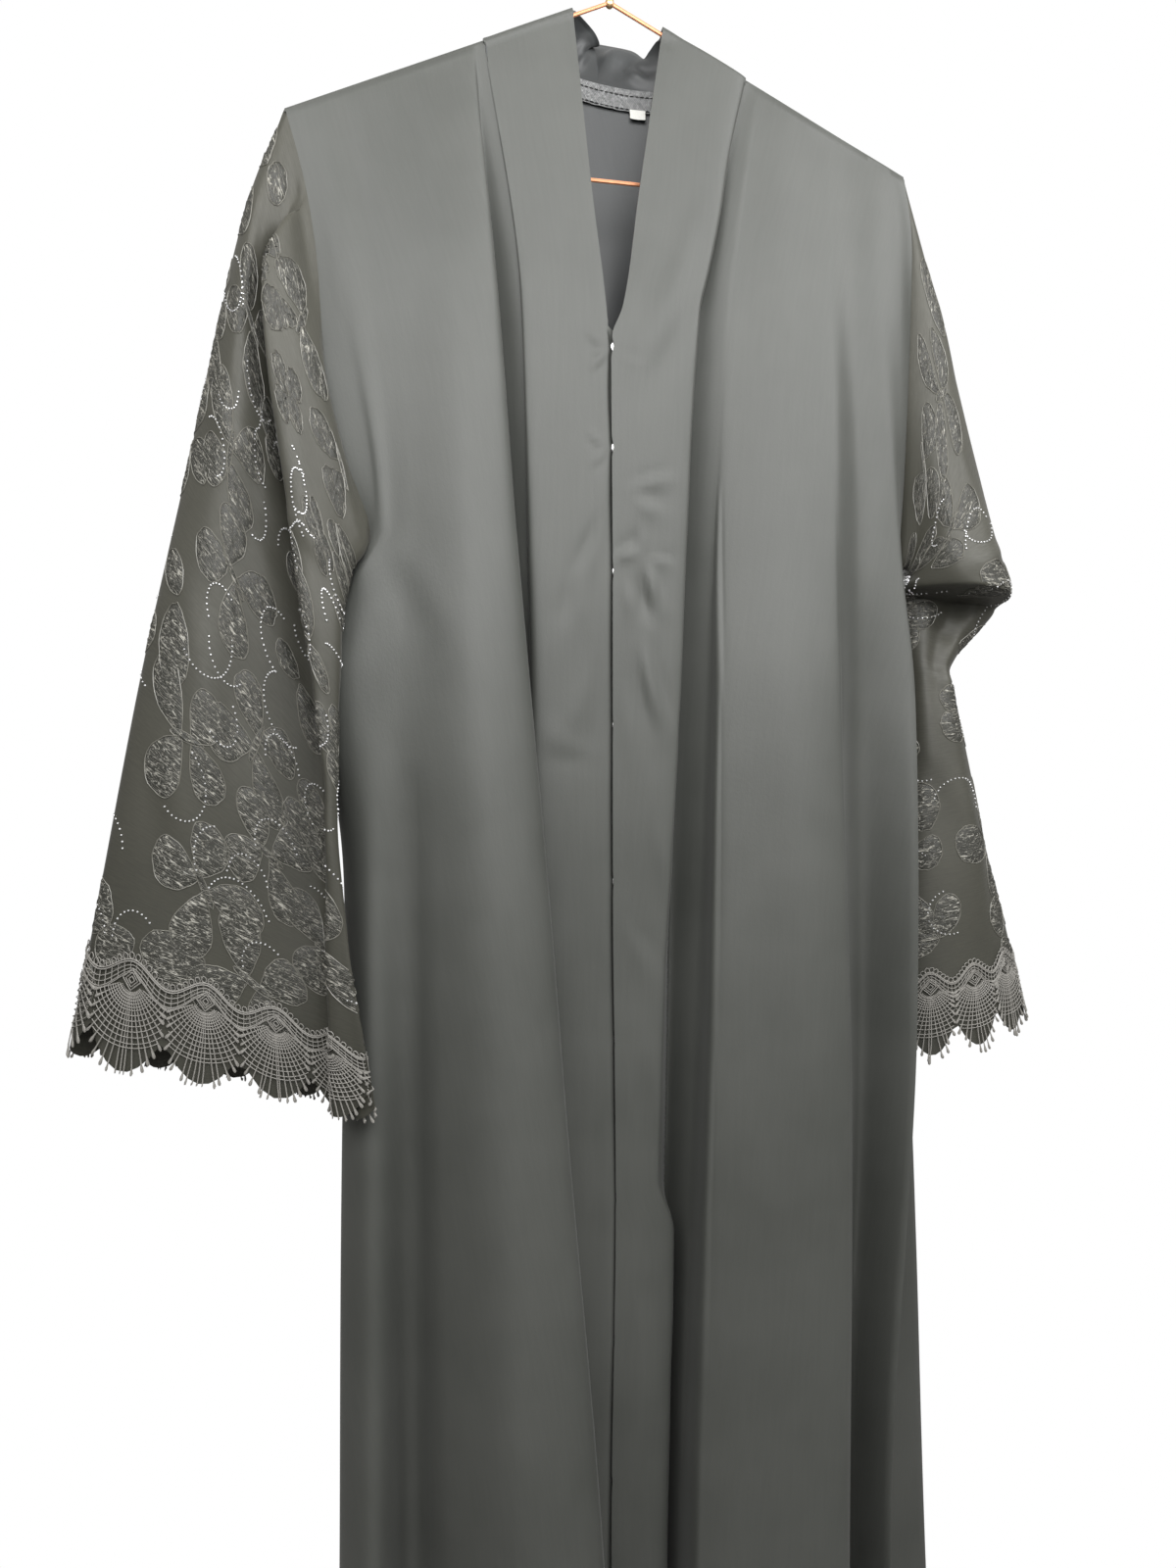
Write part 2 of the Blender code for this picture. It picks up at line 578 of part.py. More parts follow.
def lace(grid, normals, place_rows, first, count, pitch):
    """Grid of lace points on a cuff, its normals, and the cells that are open.

    Scallops run from first for count scallops.  Every second column is a gap
    between two rays, cut out between the rings and below the last of them.
    """
    start_row = place_rows.index(1.0)
    arc = arc_columns(grid[start_row])
    run = np.linalg.norm(grid[start_row + 1] - grid[start_row], axis=1).mean()
    per_place = run / (place_rows[start_row + 1] - 1.0)
    total = arc[-1]
    columns = []
    for scallop in range(count):
        for k in range(FAN_COLUMNS if scallop < count - 1 else FAN_COLUMNS + 1):
            columns.append((scallop, fan_share(k)))
    outwards = normals * corner_factor(grid) * LACE_LIFT
    points, facing = [], []
    for ring in range(len(FAN_RINGS) + 2):
        for scallop, share in columns:
            top, bottom = lace_edges(share)
            part = (0.0,) + FAN_RINGS + (1.0,)
            down = top + part[ring] * (bottom - top)
            squeeze = FAN_SQUEEZE[ring] * (1 - (2 * share - 1) ** 2)
            across = 0.5 + (share - 0.5) * (1 - squeeze)
            length = (first + scallop + across) * pitch
            column = np.interp(length % total, arc, np.arange(len(arc)))
            place = 1.0 + down / per_place
            row = np.interp(place, place_rows, np.arange(len(place_rows)))
            points.append(mixed(grid, row, column) + mixed(outwards, row, column))
            facing.append(mixed(normals, row, column))
    cells = [(1, c) for c in range(FAN_COLUMNS * count) if c % FAN_COLUMNS % 2]
    fingers = [(3, c) for c in range(FAN_COLUMNS * count) if c % FAN_COLUMNS % 2]
    shape = (len(FAN_RINGS) + 2, len(columns), 3)
    return (np.array(points).reshape(shape), unit(np.array(facing)).reshape(shape),
            set(cells + fingers))


def fan_share(column):
    """Where a column's edge is across a scallop: narrow rays, wide gaps."""
    rays = (column + 1) // 2
    gaps = column // 2
    total = (FAN_COLUMNS + 1) // 2 * RAY_SHARE + FAN_COLUMNS // 2
    return (rays * RAY_SHARE + gaps) / total


# ------------------------------------------------------------------ solid walls
def tangents(grid, axis, closed=False):
    """Unit directions along one axis of a grid, the mean of both sides of a point."""
    if closed:
        after = unit(np.roll(grid, -1, axis=axis) - grid)
        return unit(after + np.roll(after, 1, axis=axis))
    steps = unit(np.diff(grid, axis=axis))
    before = np.concatenate((np.take(steps, [0], axis), steps), axis=axis)
    after = np.concatenate((steps, np.take(steps, [-1], axis)), axis=axis)
    return unit(before + after)


def surface_normals(grid, facing, closed=False):
    """Unit normals of a grid; facing is 1 or -1, for the side that is outside."""
    return unit(np.cross(tangents(grid, 0), tangents(grid, 1, closed))) * facing


def add_wall(name, grid, normals, thickness, material, closed=False, open_cells=()):
    """A closed wall round a grid of middle points, with some cells left out."""
    rows, columns = grid.shape[:2]
    count = rows * columns
    outer = grid + normals * thickness / 2
    inner = grid - normals * thickness / 2
    points = np.concatenate((outer.reshape(-1, 3), inner.reshape(-1, 3)))
    wraps = columns if closed else columns - 1
    kept = [(r, c) for r in range(rows - 1) for c in range(wraps) if (r, c) not in open_cells]
    faces = []
    edges = {}
    for r, c in kept:
        d = (c + 1) % columns
        a, b = r * columns + c, r * columns + d
        e, f = (r + 1) * columns + c, (r + 1) * columns + d
        straight = np.linalg.norm(grid[r, c] - grid[r + 1, d])
        other = np.linalg.norm(grid[r, d] - grid[r + 1, c])
        if straight < other:
            corners = [(a, e, f), (a, f, b)]
        else:
            corners = [(a, e, b), (b, e, f)]
        for i, j, k in corners:
            faces.append((i, j, k))
            faces.append((k + count, j + count, i + count))
        for edge in ((a, e), (e, f), (f, b), (b, a)):
            key = tuple(sorted(edge))
            edges[key] = None if key in edges else edge
    for edge in edges.values():
        if edge:
            i, j = edge
            faces.append((j, i, i + count))
            faces.append((j, i + count, j + count))
    return add_mesh(name, points, faces, material)


def add_mesh(name, points, faces, material):
    """A mesh object whose faces are turned outwards."""
    used = sorted({i for face in faces for i in face})
    place = {old: new for new, old in enumerate(used)}
    mesh = bpy.data.meshes.new(name)
    mesh.from_pydata([tuple(points[i]) for i in used], [],
                     [tuple(place[i] for i in face) for face in faces])
    turned = bmesh.new()
    turned.from_mesh(mesh)
    bmesh.ops.recalc_face_normals(turned, faces=turned.faces)
    turned.to_mesh(mesh)
    turned.free()
    mesh.shade_smooth()
    mesh.materials.append(material_named(*material))
    thing = bpy.data.objects.new(name, mesh)
    bpy.context.collection.objects.link(thing)
    return thing


def material_named(name, colour, roughness, metallic):
    """One of the part's plain materials."""
    material = bpy.data.materials.get(name)
    if material is None:
        material = bpy.data.materials.new(name)
        material.use_nodes = True
        shader = material.node_tree.nodes["Principled BSDF"]
        shader.inputs["Base Color"].default_value = (*colour, 1.0)
        shader.inputs["Roughness"].default_value = roughness
        shader.inputs["Metallic"].default_value = metallic
    return material


# ---------------------------------------------------------------------- pieces
def flatten(normals, axis):
    """Normals with one axis taken out, so that a seam's edge is cut square to it."""
    level = normals.copy()
    level[..., axis] = 0.0
    return unit(level)


def draw_in(grid, column, neighbour):
    """Draw one edge of a grid in by half a seam gap."""
    grid[:, column] += unit(grid[:, neighbour] - grid[:, column]) * GAP / 2


def build_body():
    """Both fronts and the back, sewn at the shoulders and sides; returns their grids."""
    grids = {"front_left": front_left(), "front_right": front_right(), "back": back()}
    facing = {"front_left": -1, "front_right": 1, "back": -1}
    normals = {name: surface_normals(grid, facing[name]) for name, grid in grids.items()}
    below = len(ROLL_ANGLES) + BODY_ROWS.index(UNDERARM_SHARE)
    for name, column in (("front_left", 0), ("front_right", -1)):
        seam = unit(normals[name][below:, -1] + normals["back"][below:, column])
        normals[name][below:, -1] = seam
        normals["back"][below:, column] = seam
    for name, field in normals.items():
        on_shoulder = np.abs(grids[name][0, :, 0]) >= NECK_HALF - 1e-6
        field[0, on_shoulder] = flatten(field[0, on_shoulder], 1)
    walls = {name: grid.copy() for name, grid in grids.items()}
    draw_in(walls["front_left"], -1, -2)
    draw_in(walls["front_right"], -1, -2)
    draw_in(walls["back"], 0, 1)
    draw_in(walls["back"], -1, -2)
    for name, grid in walls.items():
        add_wall(name, grid, normals[name], CLOTH, BLACK_SATIN)
    return grids, normals


def with_heights(line, heights):
    """Rows of values from the hem up, the third one z, with a row added at each height."""
    z = line[:, 2]
    rows = np.sort(np.concatenate((z, heights)))
    return np.stack([np.interp(rows, z, column) for column in line.T], axis=1)


def build_bands(grids, normals):
    """The two bands that edge the fronts and meet behind the neck as the collar."""
    neck = grids["back"][0]
    neck_normals = normals["back"][0]
    for side, sign in (("left", -1), ("right", 1)):
        seam = np.hstack((grids["front_" + side][::-1, 0], normals["front_" + side][::-1, 0]))
        seam = with_heights(seam, (UNDERLAP_START_Z, UNDERLAP_TOP_Z))
        front = seam[:, :3]
        inside = [c for c in range(len(neck)) if 0 <= sign * neck[c, 0] < NECK_HALF - 1e-6]
        inside.sort(key=lambda c: -abs(neck[c, 0]))
        grid = band(side, list(front), [neck[c] for c in inside])
        field = surface_normals(grid, sign)
        field[:len(front), 0] = unit(seam[:, 3:])
        field[len(front):, 0] = neck_normals[inside]
        grid[-1, :, 0] = sign * GAP / 2
        field[-1] = flatten(field[-1], 0)
        add_wall("band_" + side, grid, field, BAND_CLOTH, BLACK_SATIN)


def build_sleeves():
    """Each sleeve, and its cuff lace in two halves."""
    for side, facing in (("left", 1), ("right", -1)):
        rows = SLEEVE_ROWS[side]
        grid = sleeve(side, rows, SLEEVE_SEGMENTS[side])
        normals = surface_normals(grid, facing, closed=True)
        normals[0] = flatten(normals[0], 0)
        end = rows.index(SLEEVE_END) + 1
        add_wall("sleeve_" + side, grid[:end], normals[:end], CLOTH, JACQUARD, closed=True)
        build_lace(side, grid, normals, rows)


def build_lace(side, grid, normals, rows):
    """The two halves of one cuff's lace."""
    around = arc_columns(grid[rows.index(1.0)])[-1]
    pitch = around / (SCALLOPS_FRONT + SCALLOPS_BACK)
    halves = (("front", LACE_START, SCALLOPS_FRONT),
              ("back", LACE_START + SCALLOPS_FRONT, SCALLOPS_BACK))
    for half, first, count in halves:
        points, field, open_cells = lace(grid, normals, rows, first, count, pitch)
        draw_in(points, 0, 1)
        draw_in(points, -1, -2)
        add_wall(f"lace_{side}_{half}", points, field, LACE_CLOTH, LACE_THREAD,
                 open_cells=open_cells)


def inside_back(grid, x, drop, lift):
    """A point in front of the back's inner side, below the neck seam."""
    rows = [(np.interp(x, row[:, 0], row[:, 1]), np.interp(x, row[:, 0], row[:, 2]))
            for row in grid[:6]]
    z = rows[0][1] - drop
    y = np.interp(-z, [-row[1] for row in rows], [row[0] for row in rows])
    return (x, y - lift, z)


def build_neck_trim(back_grid):
    """The tape along the back neck seam and the blank label below it."""
    lift = CLOTH / 2 + TAPE_CLOTH / 2 + 0.0008
    xs = np.linspace(-TAPE_HALF_LENGTH, TAPE_HALF_LENGTH, 9)
    tape = np.array([[inside_back(back_grid, x, drop, lift) for x in xs]
                     for drop in (0.0010, TAPE_WIDTH / 2, TAPE_WIDTH)])
    add_wall("neck_tape", tape, surface_normals(tape, 1), TAPE_CLOTH, TAPE_WEAVE)
    lift += TAPE_CLOTH + 0.0009
    ends = (LABEL_X - LABEL_WIDTH / 2, LABEL_X + LABEL_WIDTH / 2)
    drops = (TAPE_WIDTH - 0.003, TAPE_WIDTH + LABEL_DROP)
    label = np.array([[inside_back(back_grid, x, drop, lift) for x in ends]
                      for drop in drops])
    add_wall("label", label, surface_normals(label, 1), TAPE_CLOTH, WHITE_LABEL)


def build_snaps():
    """The closed snap fasteners between the two bands."""
    x_at = smooth(BAND_EDGE_HEIGHTS, BAND_EDGE_X["right"])
    y = (UNDERLAP_Y + BAND_FACE_Y["right"]) / 2
    for number, z in enumerate(SNAP_HEIGHTS, 1):
        shape = bmesh.new()
        bmesh.ops.create_cone(shape, cap_ends=True, segments=12, radius1=SNAP_RADIUS,
                              radius2=0.85 * SNAP_RADIUS, depth=SNAP_THICKNESS)
        mesh = bpy.data.meshes.new(f"snap_{number}")
        shape.to_mesh(mesh)
        shape.free()
        mesh.materials.append(material_named(*SNAP_METAL))
        snap = bpy.data.objects.new(f"snap_{number}", mesh)
        snap.location = (x_at(z) + SNAP_RADIUS + 0.0008, y, z)
        snap.rotation_euler = (math.radians(90.0), 0.0, 0.0)
        bpy.context.collection.objects.link(snap)


def add_wire(name, points):
    """A stretch of the hanger's wire."""
    curve = bpy.data.curves.new(name, "CURVE")
    curve.dimensions = "3D"
    curve.bevel_depth = WIRE_RADIUS
    curve.bevel_resolution = 2
    curve.use_fill_caps = True
    line = curve.splines.new("POLY")
    line.points.add(len(points) - 1)
    for point, (x, z) in zip(line.points, points):
        point.co = (x, 0.0, z, 1.0)
    curve.materials.append(material_named(*COPPER))
    wire = bpy.data.objects.new(name, curve)
    bpy.context.collection.objects.link(wire)


def build_hanger():
    """Hook, two sloping arms that bend back under, and the bar between them."""
    slope = math.atan(ARM_SLOPE)
    corner = (APEX_Z - BAR_Z) / ARM_SLOPE
    bend_x = corner - BAR_BEND / math.tan(slope / 2)
    bend_z = BAR_Z + BAR_BEND
    turns = np.linspace(math.pi / 2 - slope, -math.pi / 2, 8)
    arm = [(0.002, wire_z(0.002))]
    arm += [(bend_x + BAR_BEND * math.cos(t), bend_z + BAR_BEND * math.sin(t)) for t in turns]
    add_wire("hanger_arm_right", arm)
    add_wire("hanger_arm_left", [(-x, z) for x, z in arm])
    end = bend_x - GAP
    add_wire("hanger_bar", [(-end, BAR_Z), (end, BAR_Z)])
    middle_z = WIRE_RADIUS - HOOK_RADIUS
    hook = [(0.0, APEX_Z + 0.0030), (0.0, -0.065), (0.001, -0.056), (0.005, -0.0485)]
    for degrees in range(-55, 216, 15):
        turn = math.radians(degrees)
        hook.append((HOOK_RADIUS * math.cos(turn), middle_z + HOOK_RADIUS * math.sin(turn)))
    add_wire("hanger_hook", hook)


def clear_scene():
    """Remove whatever the file starts with."""
    for thing in list(bpy.data.objects):
        bpy.data.objects.remove(thing, do_unlink=True)


def main():
    """Build the cloak and its hanger."""
    clear_scene()
    grids, normals = build_body()
    build_bands(grids, normals)
    build_sleeves()
    build_neck_trim(grids["back"])
    build_snaps()
    build_hanger()


main()
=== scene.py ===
import math

import bpy
import numpy as np
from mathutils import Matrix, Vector


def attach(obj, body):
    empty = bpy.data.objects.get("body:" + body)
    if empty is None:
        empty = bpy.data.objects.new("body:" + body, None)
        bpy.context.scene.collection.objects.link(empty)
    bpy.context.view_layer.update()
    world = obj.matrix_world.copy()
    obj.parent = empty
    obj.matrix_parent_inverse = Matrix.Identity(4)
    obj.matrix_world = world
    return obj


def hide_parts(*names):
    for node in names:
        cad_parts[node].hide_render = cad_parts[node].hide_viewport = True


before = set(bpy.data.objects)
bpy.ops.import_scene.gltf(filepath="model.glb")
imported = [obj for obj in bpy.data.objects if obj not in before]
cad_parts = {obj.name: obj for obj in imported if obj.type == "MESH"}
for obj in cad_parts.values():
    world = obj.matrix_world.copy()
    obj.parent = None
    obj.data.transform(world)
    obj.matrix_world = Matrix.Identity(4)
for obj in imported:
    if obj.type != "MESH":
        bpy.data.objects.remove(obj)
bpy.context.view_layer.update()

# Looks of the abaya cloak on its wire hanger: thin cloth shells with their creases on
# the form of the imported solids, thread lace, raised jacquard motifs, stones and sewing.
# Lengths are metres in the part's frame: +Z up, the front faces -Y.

# ------------------------------------------------- the part's driving dimensions
SHELL = 0.0008              # thickness of the shown cloth
DOUBLE_SHELL = 0.0018       # of the bands
TAPE_SHELL = 0.0007
SOLID_CLOTH = 0.0016        # wall of the solids that the shells stand for
WIRE_RADIUS = 0.0014
APEX_Z = -0.085
ARM_SLOPE = math.tan(math.radians(25.0))
BAR_Z = -0.208
ROLL = 0.0030
BAND_ROLL = 0.0039
NECK_POINT = {"left": -0.0860, "right": 0.0953}   # where a band's seam meets the wire
TIP_HALF = 0.2165
UNDERARM_Z = -0.462
HEM_Z = -1.510
NECK_DEPTH = 0.035
V_BOTTOM_Z = -0.324
UNDERLAP = 0.010
UNDERLAP_START_Z = -0.316
UNDERLAP_TOP_Z = -0.3225
HEIGHTS = (-0.30, -0.46, -0.56, -0.80, -1.13, HEM_Z)
# Each row is one fold: its x on the shoulder line and at each of HEIGHTS,
# then its y at each of HEIGHTS.
FRONT_LEFT = (
    ("band seam", (-.0860, -.0620, -.0570, -.0550, -.0550, -.0560, -.0600),
     (-.013, -.008, -.004, -.003, -.003, -.004)),
    ("tuck under lap", (-.0925, -.0825, -.0790, -.0780, -.0780, -.0800, -.0900),
     (-.003, .001, .004, .005, .004, .002)),
    ("lap edge", (-.0960, -.0795, -.0680, -.0605, -.0410, -.0140, .0040),
     (-.021, -.029, -.034, -.042, -.048, -.053)),
    ("broad roll", (-.1180, -.1050, -.0980, -.0950, -.0840, -.0700, -.0600),
     (-.027, -.040, -.049, -.060, -.068, -.078)),
    ("valley", (-.1450, -.1370, -.1360, -.1420, -.1400, -.1360, -.1300),
     (-.021, -.030, -.033, -.022, -.008, .000)),
    ("side roll", (-.1700, -.1600, -.1480, -.1640, -.1640, -.1620, -.1650),
     (-.018, -.026, -.028, -.028, -.034, -.044)),
    ("side edge", (-.1880, -.1740, -.1550, -.1760, -.1790, -.1810, -.1920),
     (-.017, -.025, -.012, -.006, -.010, -.012)),
    ("side pleat", (-.2030, -.1840, -.1590, -.1720, -.1680, -.1620, -.1600),
     (-.015, -.022, .008, .016, .020, .022)),
    ("side seam", (-.2165, -.1945, -.1620, -.1760, -.1780, -.1800, -.1950),
     (-.012, -.018, .026, .044, .052, .060)),
)
FRONT_RIGHT = (
    ("band seam", (.0953, .0570, .0462, .0430, .0395, .0350, .0335),
     (-.005, -.004, -.002, .001, .003, .003)),
    ("valley by band", (.0985, .0610, .0505, .0480, .0440, .0395, .0380),
     (-.003, .001, .005, .009, .015, .017)),
    ("ridge foot", (.1050, .0790, .0700, .0664, .0582, .0460, .0415),
     (-.013, -.014, -.012, -.014, -.014, -.014)),
    ("crisp ridge", (.1080, .0830, .0730, .0692, .0612, .0490, .0445),
     (-.014, -.018, -.027, -.039, -.044, -.052)),
    ("ridge shoulder", (.1120, .0890, .0780, .0737, .0657, .0535, .0490),
     (-.015, -.021, -.030, -.042, -.047, -.055)),
    ("broad roll", (.1290, .1200, .1150, .1120, .1080, .1000, .0950),
     (-.020, -.033, -.042, -.052, -.060, -.070)),
    ("second ridge", (.1570, .1530, .1490, .1500, .1560, .1520, .1480),
     (-.020, -.033, -.041, -.049, -.055, -.064)),
    ("second ridge foot", (.1620, .1585, .1545, .1552, .1605, .1565, .1525),
     (-.0190, -.0305, -.0345, -.0330, -.0300, -.0360)),
    ("second valley", (.1780, .1740, .1750, .1800, .1860, .1760, .1720),
     (-.015, -.016, -.010, .002, .006, .008)),
    ("front edge", (.1900, .1950, .2080, .2160, .2130, .1920, .1900),
     (-.014, -.018, -.022, -.029, -.032, -.040)),
    ("deep pleat", (.2010, .2060, .2110, .2090, .2040, .1860, .1820),
     (-.012, -.010, .004, .016, .024, .026)),
    ("side edge", (.2090, .2140, .2140, .2170, .2520, .2680, .2850),
     (-.009, -.003, .036, .064, .070, .074)),
    ("side seam", (.2165, .2215, .2160, .2120, .2330, .2400, .2500),
     (-.004, .006, .048, .076, .082, .088)),
)
# The back's own folds, between the two side seams.
BACK = (
    ("left ridge", (-.1950, -.1800, -.1560, -.1720, -.1780, -.1800, -.2000),
     (.030, .030, .044, .062, .070, .080)),
    ("left valley", (-.1650, -.1560, -.1440, -.1500, -.1560, -.1600, -.1640),
     (.022, .032, .038, .046, .050, .052)),
    ("second ridge", (-.1300, -.1190, -.1180, -.1200, -.1240, -.1280, -.1320),
     (.028, .042, .054, .074, .092, .102)),
    ("left neck point", (-.0860, -.0780, -.0720, -.0690, -.0660, -.0610, -.0580),
     (.030, .033, .036, .038, .036, .034)),
    ("third ridge", (-.0450, -.0400, -.0340, -.0300, -.0250, -.0210, -.0160),
     (.037, .046, .052, .062, .072, .080)),
    ("centre back", (.0000, .0010, .0070, .0110, .0150, .0180, .0200),
     (.037, .040, .044, .050, .054, .058)),
    ("fourth ridge", (.0450, .0440, .0470, .0500, .0530, .0570, .0600),
     (.036, .046, .056, .072, .090, .101)),
    ("right neck point", (.0953, .0820, .0860, .0900, .0960, .1010, .1060),
     (.030, .034, .036, .040, .040, .038)),
    ("fifth ridge", (.1300, .1220, .1240, .1260, .1340, .1380, .1430),
     (.028, .040, .048, .060, .068, .076)),
    ("right valley", (.1650, .1600, .1620, .1640, .1760, .1820, .1900),
     (.022, .030, .034, .036, .034, .032)),
    ("right ridge", (.1950, .1950, .1960, .1980, .2120, .2180, .2250),
     (.026, .038, .052, .074, .090, .102)),
)

# The front edge of each armhole, from the shoulder tip to the underarm.
ARMHOLE_HEIGHTS = (-.233, -.288, -.352, -.415, UNDERARM_Z)
ARMHOLE_X = {
    "left": (-.2035, -.1955, -.1915, -.1770, -.1620),
    "right": (.2230, .2215, .2195, .2180, .2160),
}
ARMHOLE_OPENING = 0.044

# Bands.  x of the edge towards the opening, above the foot of the V and below.
BAND_EDGE_HEIGHTS = (-.219, -.300, V_BOTTOM_Z, -.48, -.69, -.90, -1.13, HEM_Z)
BAND_EDGE_X = {
    "left": (-.0155, -.0065, -.0046, -.0026, -.0023, -.0003, -.0033, -.0033),
    "right": (.0180, .0052, -.0030, -.0020, -.0018, .0002, -.0028, -.0028),
}
BAND_TOP_X = {"left": -.0270, "right": .0370}       # where it crosses the wire
BAND_FACE_Y = {"left": -.0165, "right": -.0185}
UNDERLAP_Y = -.0140
# y of a band's face on the way down from the shoulder to its full depth.
BAND_NECK_Y = -0.0125
BAND_NECK_Z = -0.25
BAND_CHEST_Z = -0.32        # from here down it has its full depth
# Left band, across: where its first points lie, measured from the seam.
TUCK_OUT = 0.0006           # the turned cloth beside the seam: this far outside it
TUCK_SHARE = 0.80           # and this share of the way forward to the face
FACE_START = 0.0022         # the face begins this far inside the seam
# And its last ones, measured from the edge.
FACE_END = 0.012            # a point of the level face
EDGE_TURN = 0.0030          # the last point before the edge, above the underlap
EDGE_TURN_LOSS = 0.0022     # how much nearer that is where the strip runs under
LAP_STEP = 0.0008           # the strip's first point, beyond the edge
LAP_END = 0.0005            # how far the edge's last point always lies beyond it
# Right band, across: the fold beside its seam.
FOLD_ROOM = 0.0012          # above the V the fold is at most this far inside the seam
FOLD_OUT = 0.0020           # and then lies this much further out
FOLD_ROUND = 0.0016         # width of its round edge
# The right band folds back on itself below the chest: x of that fold.
BAND_FOLD_HEIGHTS = (-.1885, -.2316, -.2692, -.30, -.46, -.56, -.78, -.890, -.925, -1.13, HEM_Z)
BAND_FOLD_X = (.0800, .0723, .0640, .0570, .0470, .0425, .0310, .0280, .0375, .0330, .0300)
# Collar: the bands' free edge behind the neck, from the wire to centre back.
COLLAR_EDGE = {
    "left": ((-.0190, .018, -.0830), (-.0060, .036, -.0800), (.0003, .044, -.0814),
             (.0034, .052, -.0812), (-.0010, .064, -.0750)),
    "right": ((.0395, .014, -.0960), (.0400, .024, -.0915), (.0372, .034, -.0935),
              (.0350, .041, -.0950), (.0290, .052, -.0841), (.0120, .068, -.0720)),
}
COLLAR_CENTRE = (0.0, .072, -.0690)

# Sleeves.  The outer and inner rails, from the armhole (0) to the cuff (1).
SLEEVE_RAILS = {
    "left": (
        # place, outer x, outer z, inner x, inner z
        (0.00, -.2175, -.1830, -.1630, -.4620),
        (0.06, -.2280, -.2100, -.1670, -.4740),
        (0.12, -.2380, -.2400, -.1740, -.4850),
        (0.35, -.2630, -.3500, -.1800, -.5250),
        (0.65, -.2960, -.5150, -.1820, -.6450),
        (0.85, -.3160, -.6250, -.1760, -.7200),
        (1.00, -.3320, -.7150, -.1660, -.7820),
    ),
    "right": (
        (0.00, .2175, -.1830, .2170, -.4620),
        (0.20, .2440, -.2700, .2240, -.4660),
        (0.48, .2900, -.4400, .2230, -.4740),
        (0.57, .3030, -.4810, .2220, -.4770),
        (0.62, .3000, -.4920, .2240, -.4850),
        (0.72, .2630, -.5410, .2260, -.5350),
        (0.82, .2740, -.5920, .2230, -.6000),
        (1.00, .3080, -.7380, .2060, -.7600),
    ),
}
SLEEVE_LEVELS = {
    "left": (0.0, 0.12, 0.35, 0.65, 1.0),
    "right": (0.0, 0.20, 0.52, 0.590, 0.616, 0.80, 1.0),
}
# Each row is one fold: its share of the way from the outer to the inner rail,
# and its y, at each level.  The front comes first, then the back.
SLEEVE_FOLDS = {
    "left": (
        ("outer rail", (0, 0, 0, 0, 0), (.000, -.001, -.002, -.004, -.006)),
        ("crest", (.03, .06, .17, .22, .22), (-.004, -.014, -.026, -.027, -.022)),
        ("hollow", (.08, .13, .40, .50, .48), (-.007, -.013, -.020, -.020, -.018)),
        ("tuck", (.14, .27, .74, .93, .82), (-.010, -.006, -.010, -.018, -.024)),
        ("flap under", (.20, .235, .655, .940, .880), (-.009, -.024, -.034, -.038, -.034)),
        ("flap edge", (.22, .20, .62, .93, .87), (-.011, -.033, -.043, -.046, -.041)),
        ("flap roll", (.28, .24, .66, .94, .89), (-.012, -.036, -.046, -.048, -.043)),
        ("flap face", (.60, .60, .82, .97, .95), (-.014, -.036, -.048, -.048, -.044)),
        ("inner rail", (1, 1, 1, 1, 1), (-.018, -.028, -.040, -.044, -.045)),
        ("inner back", (.94, .94, .95, .95, .94), (-.002, -.006, -.012, -.020, -.034)),
        ("back roll", (.78, .78, .80, .80, .80), (.018, .014, .012, .008, -.004)),
        ("back middle", (.52, .52, .55, .55, .52), (.028, .026, .020, .018, .014)),
        ("back hollow", (.28, .28, .30, .30, .28), (.024, .024, .016, .012, .006)),
        ("back crest", (.10, .10, .12, .12, .12), (.012, .014, .014, .012, .010)),
    ),
    "right": (
        ("outer rail", (0, 0, 0, 0, 0, 0, 0),
         (.000, .004, .006, .008, .018, .018, .012)),
        ("front outer", (.12, .22, .25, .25, .25, .25, .25),
         (-.004, -.012, -.028, -.030, .006, -.002, -.010)),
        ("front middle", (.45, .50, .50, .50, .50, .50, .50),
         (-.004, -.016, -.036, -.038, .012, -.004, -.014)),
        ("front inner", (.80, .78, .75, .75, .75, .76, .78),
         (-.002, -.014, -.034, -.032, .008, -.002, -.006)),
        ("inner rail", (1, 1, 1, 1, 1, 1, 1),
         (.004, .004, .000, .000, .020, .016, .012)),
        ("inner back", (.90, .90, .86, .86, .86, .86, .88),
         (.018, .024, .030, .032, .038, .028, .026)),
        ("back pleat", (.62, .64, .62, .62, .62, .60, .60),
         (.034, .042, .046, .050, .054, .030, .014)),
        ("back roll", (.36, .38, .38, .38, .38, .36, .34),
         (.032, .046, .062, .070, .086, .066, .052)),
        ("back outer", (.12, .14, .14, .14, .14, .14, .14),
         (.012, .026, .044, .050, .062, .050, .042)),
    ),
}
LACE_END = 1.13             # the sleeve's form is known this far, for the lace

SCALLOPS_FRONT = 4
SCALLOPS_BACK = 5
LACE_START = 0.27           # of a scallop, from the outer rail to the first one
LACE_HEIGHT = 0.068
LACE_DIP = 0.010            # the top edge falls this much between two scallops
LACE_VALLEY = 0.022         # the lower edge rises this much between two
LACE_REST = 0.0016          # of the threads' middle over the cloth's
LACE_HEM = 0.0055           # the cloth behind it ends this far above the tips
